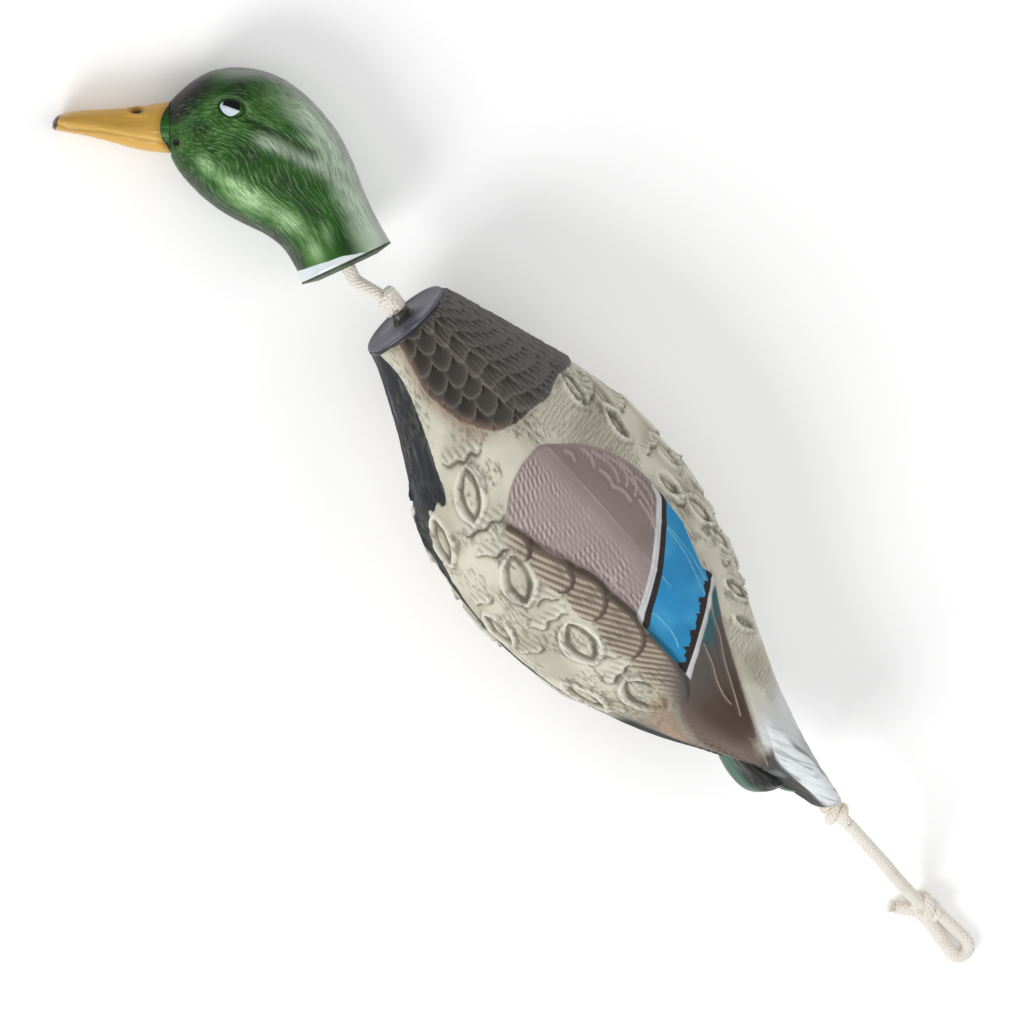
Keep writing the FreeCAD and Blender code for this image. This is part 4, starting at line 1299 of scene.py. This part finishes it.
on_side = smooth_share(np.abs(hz), 6, 10)
GROOVE_FROM, GROOVE_TO = (74.1, 12.2), (49.6, -7.7)
groove_gap, groove_t = head_segment(GROOVE_FROM, GROOVE_TO)
head_height -= on_side * 0.9 * np.exp(-(groove_gap / 1.4) ** 2) * (1 - 0.5 * groove_t)
head_height += on_side * 0.6 * np.exp(-((groove_gap - 4.5) / 2.6) ** 2) * (1 - 0.4 * groove_t)
PIN_HOLE_AT = (77.9, 44.7)
hole_gap = np.hypot(hu - PIN_HOLE_AT[0], hw - PIN_HOLE_AT[1])
head_height -= 1.2 * np.exp(-(hole_gap / 1.15) ** 2) * smooth_share(np.abs(hz), 3, 5)
EYE_AT = (80.8, 16.3)
EYE_TILT = math.radians(-42.0)
eye_along = -(hu - EYE_AT[0]) * math.sin(EYE_TILT) + (hw - EYE_AT[1]) * math.cos(EYE_TILT)
eye_up = (hu - EYE_AT[0]) * math.cos(EYE_TILT) + (hw - EYE_AT[1]) * math.sin(EYE_TILT)
eye_gap = np.hypot(eye_along / 5.0, eye_up / 3.3)
head_height += on_side * 0.45 * np.exp(-((eye_gap - 1.32) / 0.17) ** 2)
for at_u, at_w, lean in ((66, -13, 0.6), (60, -16, 0.5), (56, -9, 0.7), (70, -8, 0.4)):
    ripple_gap = head_segment((at_u, at_w), (at_u - 9 * lean, at_w - 6))[0]
    head_height += on_side * 0.55 * np.exp(-(ripple_gap / 1.6) ** 2)
ring_top = np.interp(hw, (-13, -8, 0, 22), (-1.2, 0.9, 3.0, 5.4))
ring = ring_top - hu + 0.12 * soft_noise(flow_u / 2, round_mm / 3.0, 75)
head_height *= smooth_share(flow_u, 0.0, 3.0) * smooth_share(-flow_u, -129.5, -127.5)

# spray: black first, pearl green over it from the side; the pearl's reflections are painted in as
# light and dark green spots, a pale band at the nape and grey along the crown
head_ground = tone((34, 84, 14), hu)


def painted_reflection_spot(at_u, at_w, long, wide, lean):
    """A soft spot of painted reflection: 1 in its middle, 0 outside, leaning from the neck's line."""
    c, d = math.cos(math.radians(lean)), math.sin(math.radians(lean))
    x = ((hu - at_u) * c + (hw - at_w) * d) / long
    y = (-(hu - at_u) * d + (hw - at_w) * c) / wide
    return smooth_share(-np.hypot(x, y), -1.0, 0.0)


head_ground = brush(
    head_ground,
    ((72, 118, 52), smooth_share(soft_noise(flow_u / 14, mirror_round / 9, 81), -0.2, 0.7) * 0.7))
# painted highlights: pale green reflections of the pearl finish on cheek, throat and neck
for at_u, at_w, long, wide, lean, share in (
        (42, 26, 20, 9, 40, 1.0), (27, 15, 16, 8, 30, 0.75), (64, 37, 11, 6, 20, 0.8),
        (10, 10, 12, 7, 0, 0.75), (14, 2, 12, 4, -10, 0.35), (52, 30, 14, 5, 45, 0.6),
        (60, 5, 14, 6, 50, 0.35)):
    spot = painted_reflection_spot(at_u, at_w, long, wide, lean)
    head_ground = brush(head_ground, ((104, 150, 84), share * spot),
                        ((170, 200, 156), 0.7 * share * spot ** 2.5))
# painted reflection: darker green patches between the highlights
for at_u, at_w, long, wide, lean in ((60, 18, 12, 10, 30), (42, 9, 15, 7, 35), (7, -3, 11, 7, 0),
                                     (88, 10, 9, 12, 40), (79, 33, 10, 9, 0), (28, 5, 12, 5, 25)):
    head_ground = brush(head_ground, ((18, 52, 8), 0.9 * painted_reflection_spot(at_u, at_w, long, wide, lean)))
nape_line = np.interp(hu, (0, 36, 60, 72, 81, 87, 96), (-21, -22, -20, -16, -12, -7, 4))
throat_line = np.interp(hu, (0, 12, 24, 36, 48, 60, 72), (21.9, 20.6, 24.7, 35.6, 43, 47.4, 49.4))
nape = hw - nape_line
# painted reflection: a pale band along the nape's edge, grey towards the crown
head_ground = brush(
    head_ground,
    ((204, 224, 200), 0.9 * smooth_share(-nape, -18, -5) * smooth_share(-hu, -88, -60)),
    ((160, 162, 160), 0.85 * smooth_share(-nape, -6, -1.0) * smooth_share(-hu, -92, -78)))
crown_line = np.interp(hw, (-8, 0, 8, 16, 24, 32, 40), (86, 93.5, 97.1, 99.4, 99.7, 98.3, 95.3))
crown = crown_line - hu
# the crown: black ground, with painted highlights in grey along its edge
head_ground = brush(
    head_ground,
    ((14, 14, 13), 0.97 * smooth_share(-crown, -13, -5) * smooth_share(hw, 14, 24)),
    ((146, 150, 146), 0.85 * smooth_share(-crown, -9, -1.5) * smooth_share(-hw, -20, -8)),
    ((12, 12, 12), 0.95 * smooth_share(hw, 28, 36) * smooth_share(hu, 83, 90)),
    ((92, 92, 92), 0.5 * smooth_share(-crown, -2.5, -0.3) * smooth_share(-hw, -30, -18)))
throat = throat_line - hw
# the throat's edge greyed, and painted shade along the cheek groove
head_ground = brush(
    head_ground,
    ((62, 66, 60), 0.85 * smooth_share(-throat, -7, -1.5) * smooth_share(-hu, -74, -60)),
    ((22, 40, 20), 0.75 * on_side * np.exp(-(groove_gap / 1.7) ** 2) * (1 - 0.5 * groove_t)))
# painted highlight along the ridge beside the groove, on one side of it
groove_side = (hw - GROOVE_FROM[1]) * 0.776 - (hu - GROOVE_FROM[0]) * 0.630
ridge_highlight = np.exp(-((groove_side - 5.2) / 3.0) ** 2) * smooth_share(groove_t, 0.08, 0.4)
# painted shade in the pin hole; round the eye, painted shade inside its rim and a painted highlight on
# the rim's upper side
head_ground = brush(
    head_ground,
    ((164, 176, 160), 0.75 * on_side * ridge_highlight),
    ((10, 16, 10), 0.95 * smooth_share(-hole_gap, -1.9, -1.4) * smooth_share(np.abs(hz), 3, 5)),
    ((14, 34, 8), 0.75 * smooth_share(-np.abs(eye_gap - 1.12), -0.2, -0.05) * on_side),
    ((112, 146, 98), 0.6 * smooth_share(-np.abs(eye_gap - 1.5), -0.35, -0.05) * on_side
     * (eye_up > 0)))
hair_zone = hair_zone * smooth_share(hole_gap, 1.6, 2.4) * smooth_share(eye_gap, 1.1, 1.4)
comb = smooth_share(-hair, 0.3, 1.1) * hair_zone
head_ground = brush(head_ground, ((12, 34, 8), 0.35 * comb))

head_skin_points = head_place(head_base_points + head_normals * head_height[:, :, None])
head_shell = skin_mesh("head_shell_skin", head_skin_points,
                       head_place(np.array((0.3, 0.0, 0.0))),
                       head_place(np.array((*((root_top + root_bottom) / 2), 0.0))),
                       {"ring": ring, "flow": flow_u, "round": mirror_round + bend_hair,
                        "haired": hair_zone},
                       {"head_ground": head_ground})
outward(head_shell)


def head_finish():
    pearl = Finish("pearl_green", 0.36, Coat_Weight=0.10, Coat_Roughness=0.2, Metallic=0.35,
                   Specular_IOR_Level=0.25)
    mottle = pearl.noise(120.0, 4.0)
    colour = pearl.attribute("head_ground", "Color")
    strand = pearl.node("CombineXYZ", {0: pearl.math("MULTIPLY", pearl.attribute("flow"), 0.15),
                                       1: pearl.math("MULTIPLY", pearl.attribute("round"), 1.5)})
    combed = pearl.node("TexNoise", {"Vector": strand.outputs[0], "Scale": 1.0,
                                     "Detail": 2.0}).outputs["Fac"]
    combed = pearl.math("MULTIPLY", pearl.span(combed, 0.36, 0.66, -1.0, 1.0),
                        pearl.attribute("haired"))
    colour = pearl.mix(pearl.span(combed, 0.1, 0.9, 0.0, 0.40), colour, paint(14, 34, 8))
    colour = pearl.mix(pearl.span(combed, -0.2, -0.9, 0.0, 0.14), colour, paint(186, 214, 172))
    ring = pearl.span(pearl.math("MULTIPLY_ADD", mottle, 0.5, pearl.attribute("ring")), 0.1, 0.5)
    colour = pearl.mix(ring, colour, paint(222, 230, 233))
    pearl.set("Base Color", colour)
    pearl.set("Roughness", pearl.span(mottle, 0.3, 0.7, 0.32, 0.46))
    pearl.bump(pearl.math("MULTIPLY", combed, -1.0), 0.00026, 0.6)
    return pearl.material


head_shell.data.materials.append(head_finish())
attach(head_shell, "head")
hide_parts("head_shell")

# ---- head cap ----------------------------------------------------------------------------------
# The hole for the rope is in a hard cap glued into the head's open base. Green overspray from the
# head covers it. The stopper knot behind it can't be seen from outside.
cap_finish = Finish("cap_green", 0.45)
cap_cloud = cap_finish.noise(140.0, 4.0)
cap_finish.set("Base Color", cap_finish.mix(cap_finish.span(cap_cloud, 0.35, 0.65), paint(30, 44, 22),
                                            paint(58, 86, 40)))
cap_finish.bump(cap_finish.noise(700.0, 4.0), 0.0003, 0.5)
finished("head_cap", cap_finish.material)
finished("head_knot", cotton)

# ---- bill --------------------------------------------------------------------------------------
# Yellow-ochre moulding bonded to the face, with two nostrils and the line of the mouth moulded in
# and a dark nail painted on its tip.
BILL_LENGTH = 51.5
BILL_RISE = math.radians(26.5)
BILL_SECTIONS = (
    (0.19, -0.018, 0.386, 0.86), (0.43, -0.010, 0.290, 0.76), (0.68, 0.016, 0.220, 0.88),
    (0.87, 0.021, 0.166, 1.00), (0.96, 0.015, 0.140, 0.84),
)
bill_along = np.array((math.sin(BILL_RISE), math.cos(BILL_RISE), 0))
bill_square = np.array((math.cos(BILL_RISE), -math.sin(BILL_RISE), 0))
bill_root = np.array((*((root_top + root_bottom) / 2), 0.0))
bill_ovals = [chord_oval(root_top, root_bottom, 11.5)]
for step, lift, tall, wide_share in BILL_SECTIONS:
    middle = bill_root + bill_along * step * BILL_LENGTH + bill_square * lift * BILL_LENGTH
    bill_ovals.append(net_oval(middle, bill_square * tall * BILL_LENGTH / 2,
                               np.array((0, 0, wide_share * 11.5))))
bill_ovals.append(net_oval(bill_root + bill_along * BILL_LENGTH + bill_square * 0.012 * BILL_LENGTH,
                           bill_square * 0.052 * BILL_LENGTH, np.array((0, 0, 0.24 * 23.0))))
BILL_ROWS, BILL_COLUMNS = 190, 160
bill_points = net_surface(bill_ovals, np.linspace(0, 1, BILL_ROWS),
                          np.arange(BILL_COLUMNS) / BILL_COLUMNS)
slant = (bill_points - bill_root) @ bill_square + 2.0
slant *= -0.32 * smooth_share((bill_points - bill_root) @ bill_along, 40, 51)
bill_points = bill_points + bill_along * slant[:, :, None]
bill_normals = grid_normals(bill_points)
from_root = bill_points - bill_root
out = from_root @ bill_along - slant
rise = from_root @ bill_square
bz = bill_points[:, :, 2]
bill_height = np.zeros(out.shape)
mouth_line = np.interp(out, (0, 14, 30, 44, 51.5), (-7.6, -5.6, -3.0, -2.2, 0.2))
mouth_gap = rise - mouth_line
bill_side = smooth_share(np.abs(bz), 4.0, 7.0)
bill_height -= 0.55 * np.exp(-(mouth_gap / 0.55) ** 2) * bill_side * smooth_share(out, 3, 9)
bill_height += 0.40 * np.exp(-((mouth_gap - 1.6) / 1.1) ** 2) * bill_side
NOSTRIL_AT = (97.4, 54.7)
nostril_at = np.array((*NOSTRIL_AT, 0)) - bill_root
nostril_out, nostril_rise = nostril_at @ bill_along, nostril_at @ bill_square
nostril = np.hypot((out - nostril_out) / 2.3, (rise - nostril_rise) / 0.95)
upper = smooth_share(np.abs(bz), 1.6, 3.0)
bill_height -= 1.3 * smooth_share(-nostril, -1.25, -0.55) * upper
bill_height += 0.65 * np.exp(-((nostril - 1.9) / 0.75) ** 2) * upper
groove = ((out - nostril_out - 8) / 9) ** 2 + ((rise - nostril_rise + 4.6) / 2.6) ** 2
bill_height -= 0.55 * np.exp(-groove) * bill_side
bill_height += 0.10 * soft_noise(out / 9, bz / 3, 91)
nail = 49.9 - 0.012 * bz ** 2 - out
face = 4.2 * (1.0 - (rise / 10.4) ** 2) - out
bill_height += 0.15 * smooth_share(-nail, -0.6, 0.3)
face_hair = soft_noise(out / 3.0, rise / 0.55, 93)
bill_height += (0.30 + 0.10 * face_hair) * smooth_share(-face, -0.3, 0.3)
bill_hole = np.hypot(out - 1.2, rise + 8.0)
bill_height -= 0.8 * np.exp(-(bill_hole / 1.2) ** 2)
bill_height *= smooth_share(out, -0.5, 0.6) * smooth_share(-out, -51.2, -49.8)
# ochre, with a painted highlight on the ridge above the mouth line and painted shade in the mouth
# groove
ochre = brush(
    tone((206, 160, 70), out),
    ((174, 132, 52), 0.6 * np.exp(-((rise - np.interp(out, (0, 51), (0.0, 0.5))) / 3.0) ** 2)),
    ((216, 170, 78), 0.8 * smooth_share(-rise, 2.6, 7.5)),
    ((224, 180, 92), 0.6 * np.exp(-((mouth_gap - 1.6) / 1.2) ** 2) * bill_side),
    ((150, 106, 40), 0.5 * np.exp(-(mouth_gap / 0.6) ** 2) * bill_side),
    ((150, 108, 40), 0.5 * smooth_share(face, -3.5, -0.3)))
# the green face at the bill's root, with painted shade in its small hole
face_green = brush(
    tone((34, 84, 14), out),
    ((12, 12, 11), smooth_share(rise, 3.5, 8.5)),
    ((98, 146, 84), 0.6 * smooth_share(face_hair, 0.1, 0.9) * smooth_share(-rise, -5, 1)),
    ((12, 34, 8), 0.5 * smooth_share(-face_hair, 0.1, 0.9)),
    ((10, 14, 10), smooth_share(-bill_hole, -1.9, -1.1)))
# painted shade in the nostrils and round their rims
ochre = brush(
    ochre,
    ((38, 26, 18), 0.95 * smooth_share(-nostril, -1.15, -0.75) * upper),
    ((92, 62, 34), 0.5 * np.exp(-((nostril - 1.25) / 0.35) ** 2) * upper))
bill_tip = bill_root + bill_along * BILL_LENGTH + bill_square * 0.02 * BILL_LENGTH
bill_piece = skin_mesh("bill_moulding",
                       head_place(bill_points + bill_normals * bill_height[:, :, None]),
                       head_place(bill_root), head_place(bill_tip),
                       {"nail": -nail, "face": face}, {"ochre": ochre, "face_green": face_green})
outward(bill_piece)
bill_finish = Finish("bill_ochre_paint", 0.40, Coat_Weight=0.12, Coat_Roughness=0.2,
                     Specular_IOR_Level=0.3)
bill_cloud = bill_finish.noise(90.0, 3.0)
bill_colour = bill_finish.mix(bill_finish.span(bill_cloud, 0.4, 0.7, 0.0, 0.25),
                              bill_finish.attribute("ochre", "Color"), paint(206, 166, 84))
bill_colour = bill_finish.mix(bill_finish.span(bill_finish.attribute("nail"), -0.25, 0.25),
                              bill_colour, paint(52, 40, 36))
bill_colour = bill_finish.mix(bill_finish.span(bill_finish.attribute("face"), -0.12, 0.12),
                              bill_colour, bill_finish.attribute("face_green", "Color"))
bill_finish.set("Base Color", bill_colour)
bill_finish.set("Roughness", bill_finish.span(bill_cloud, 0.3, 0.7, 0.28, 0.42))
bill_finish.bump(bill_finish.noise(1200.0, 2.0), 0.00006, 0.4)
bill_piece.data.materials.append(bill_finish.material)
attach(bill_piece, "head")
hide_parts("bill")

# ---- eyes --------------------------------------------------------------------------------------
# Glossy painted domes set into the wall of the head, following its curve: a black pupil above and a
# pale grey-blue crescent below.
EYE_RINGS, EYE_COLUMNS = 14, 40
EYE_HALF_LONG, EYE_HALF_TALL = 5.2, 3.5
EYE_STANDS, EYE_BULGE, EYE_SETS_IN = 0.22, 0.85, 2.2
for side_name, sign in (("left", 1.0), ("right", -1.0)):
    node = "eye_" + side_name
    wall = head_base_points.reshape(-1, 3)[(head_base_points[:, :, 2] * sign > 4).ravel()]
    wall = wall[np.hypot(wall[:, 0] - EYE_AT[0], wall[:, 1] - EYE_AT[1]) < 9.0]
    places = []                  # up, towards the bill and to the left; then the eye's own two ways
    for ring_number in range(EYE_RINGS):
        share = ring_number / (EYE_RINGS - 1.0)
        for column in range(EYE_COLUMNS):
            turn = column * math.tau / EYE_COLUMNS
            reach = max(share, 0.02)
            a = math.cos(turn) * EYE_HALF_LONG * reach
            b = math.sin(turn) * EYE_HALF_TALL * reach * (1.0 - 0.25 * abs(math.cos(turn)) ** 3)
            u = EYE_AT[0] + b * math.cos(EYE_TILT) - a * math.sin(EYE_TILT)
            w = EYE_AT[1] + a * math.cos(EYE_TILT) + b * math.sin(EYE_TILT)
            nearness = 1.0 / (np.hypot(wall[:, 0] - u, wall[:, 1] - w) + 0.05) ** 4
            depth = float(np.sum(wall[:, 2] * nearness) / np.sum(nearness))
            bulge = EYE_STANDS + EYE_BULGE * (1.0 - share ** 2)
            places.append((u, w, depth + sign * bulge, b, a))
    places += [(u, w, z - sign * EYE_SETS_IN, b, a) for u, w, z, b, a in places[-EYE_COLUMNS:]]
    faces = ring_quads(EYE_RINGS, EYE_COLUMNS)
    faces.append(tuple(range(EYE_COLUMNS)))
    faces.append(tuple(reversed(range(EYE_RINGS * EYE_COLUMNS, (EYE_RINGS + 1) * EYE_COLUMNS))))
    corners = head_place(np.array([place[:3] for place in places])) * MM
    eye = mesh_object(node + "_dome", corners.tolist(), faces)
    # pale grey-blue below the pupil, black above it
    crescent_share = [max(0.15 - b + 0.05 * a, a - 4.1) for u, w, z, b, a in places]
    shade = eye.data.attributes.new("pale_crescent", "FLOAT", "POINT")
    shade.data.foreach_set("value", np.array(crescent_share, np.float32))
    outward(eye)
    gloss = Finish("eye_paint_" + side_name, 0.2, Coat_Weight=0.15, Specular_IOR_Level=0.2)
    patchy = gloss.noise(500.0, 2.0)
    pale = gloss.mix(gloss.span(patchy, 0.35, 0.65), paint(196, 208, 220), paint(218, 228, 236))
    edge = gloss.math("MULTIPLY_ADD", patchy, 0.5, gloss.attribute("pale_crescent"))
    gloss.set("Base Color", gloss.mix(gloss.span(edge, 0.1, 0.5), paint(6, 8, 6), pale))
    eye.data.materials.append(gloss.material)
    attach(eye, "head")
    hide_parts(node)

# ---- floor and light ---------------------------------------------------------------------------
# The dummy lies on a white sweep under three large soft boxes: the key beyond its back, a fill
# from the belly side and one overhead.
floor = mesh_object("floor", [(-6, -6, 0), (6, -6, 0), (6, 6, 0), (-6, 6, 0)], [(0, 1, 2, 3)],
                    smooth=False)
sweep = Finish("white_sweep", 0.9, Emission_Color=(1.0, 1.0, 1.0, 1.0), Emission_Strength=0.16)
sweep.set("Base Color", sweep.mix(sweep.noise(3.0), (0.90, 0.90, 0.90), (0.93, 0.93, 0.93)))
floor.data.materials.append(sweep.material)


def soft_box(name, at, power, size, target=(0.03, 0.0, 0.04)):
    """A square light of a power in watts, turned towards the dummy."""
    light = bpy.data.lights.new(name, "AREA")
    light.energy = power
    light.size = size
    box = in_scene(name, light)
    box.location = at
    box.rotation_euler = (Vector(target) - Vector(at)).to_track_quat("-Z", "Y").to_euler()


soft_box("key_light", (0.05, 1.3, 1.1), 15.0, 0.7)
soft_box("fill_light", (-0.5, -1.0, 1.1), 5.0, 1.2)
soft_box("top_light", (0.2, 0.0, 1.9), 6.5, 1.6)
world = bpy.data.worlds.new("studio")
world.use_nodes = True
world.node_tree.nodes["Background"].inputs["Color"].default_value = (1.0, 1.0, 1.0, 1.0)
world.node_tree.nodes["Background"].inputs["Strength"].default_value = 0.42
bpy.context.scene.world = world
bpy.context.scene.view_settings.view_transform = "Standard"
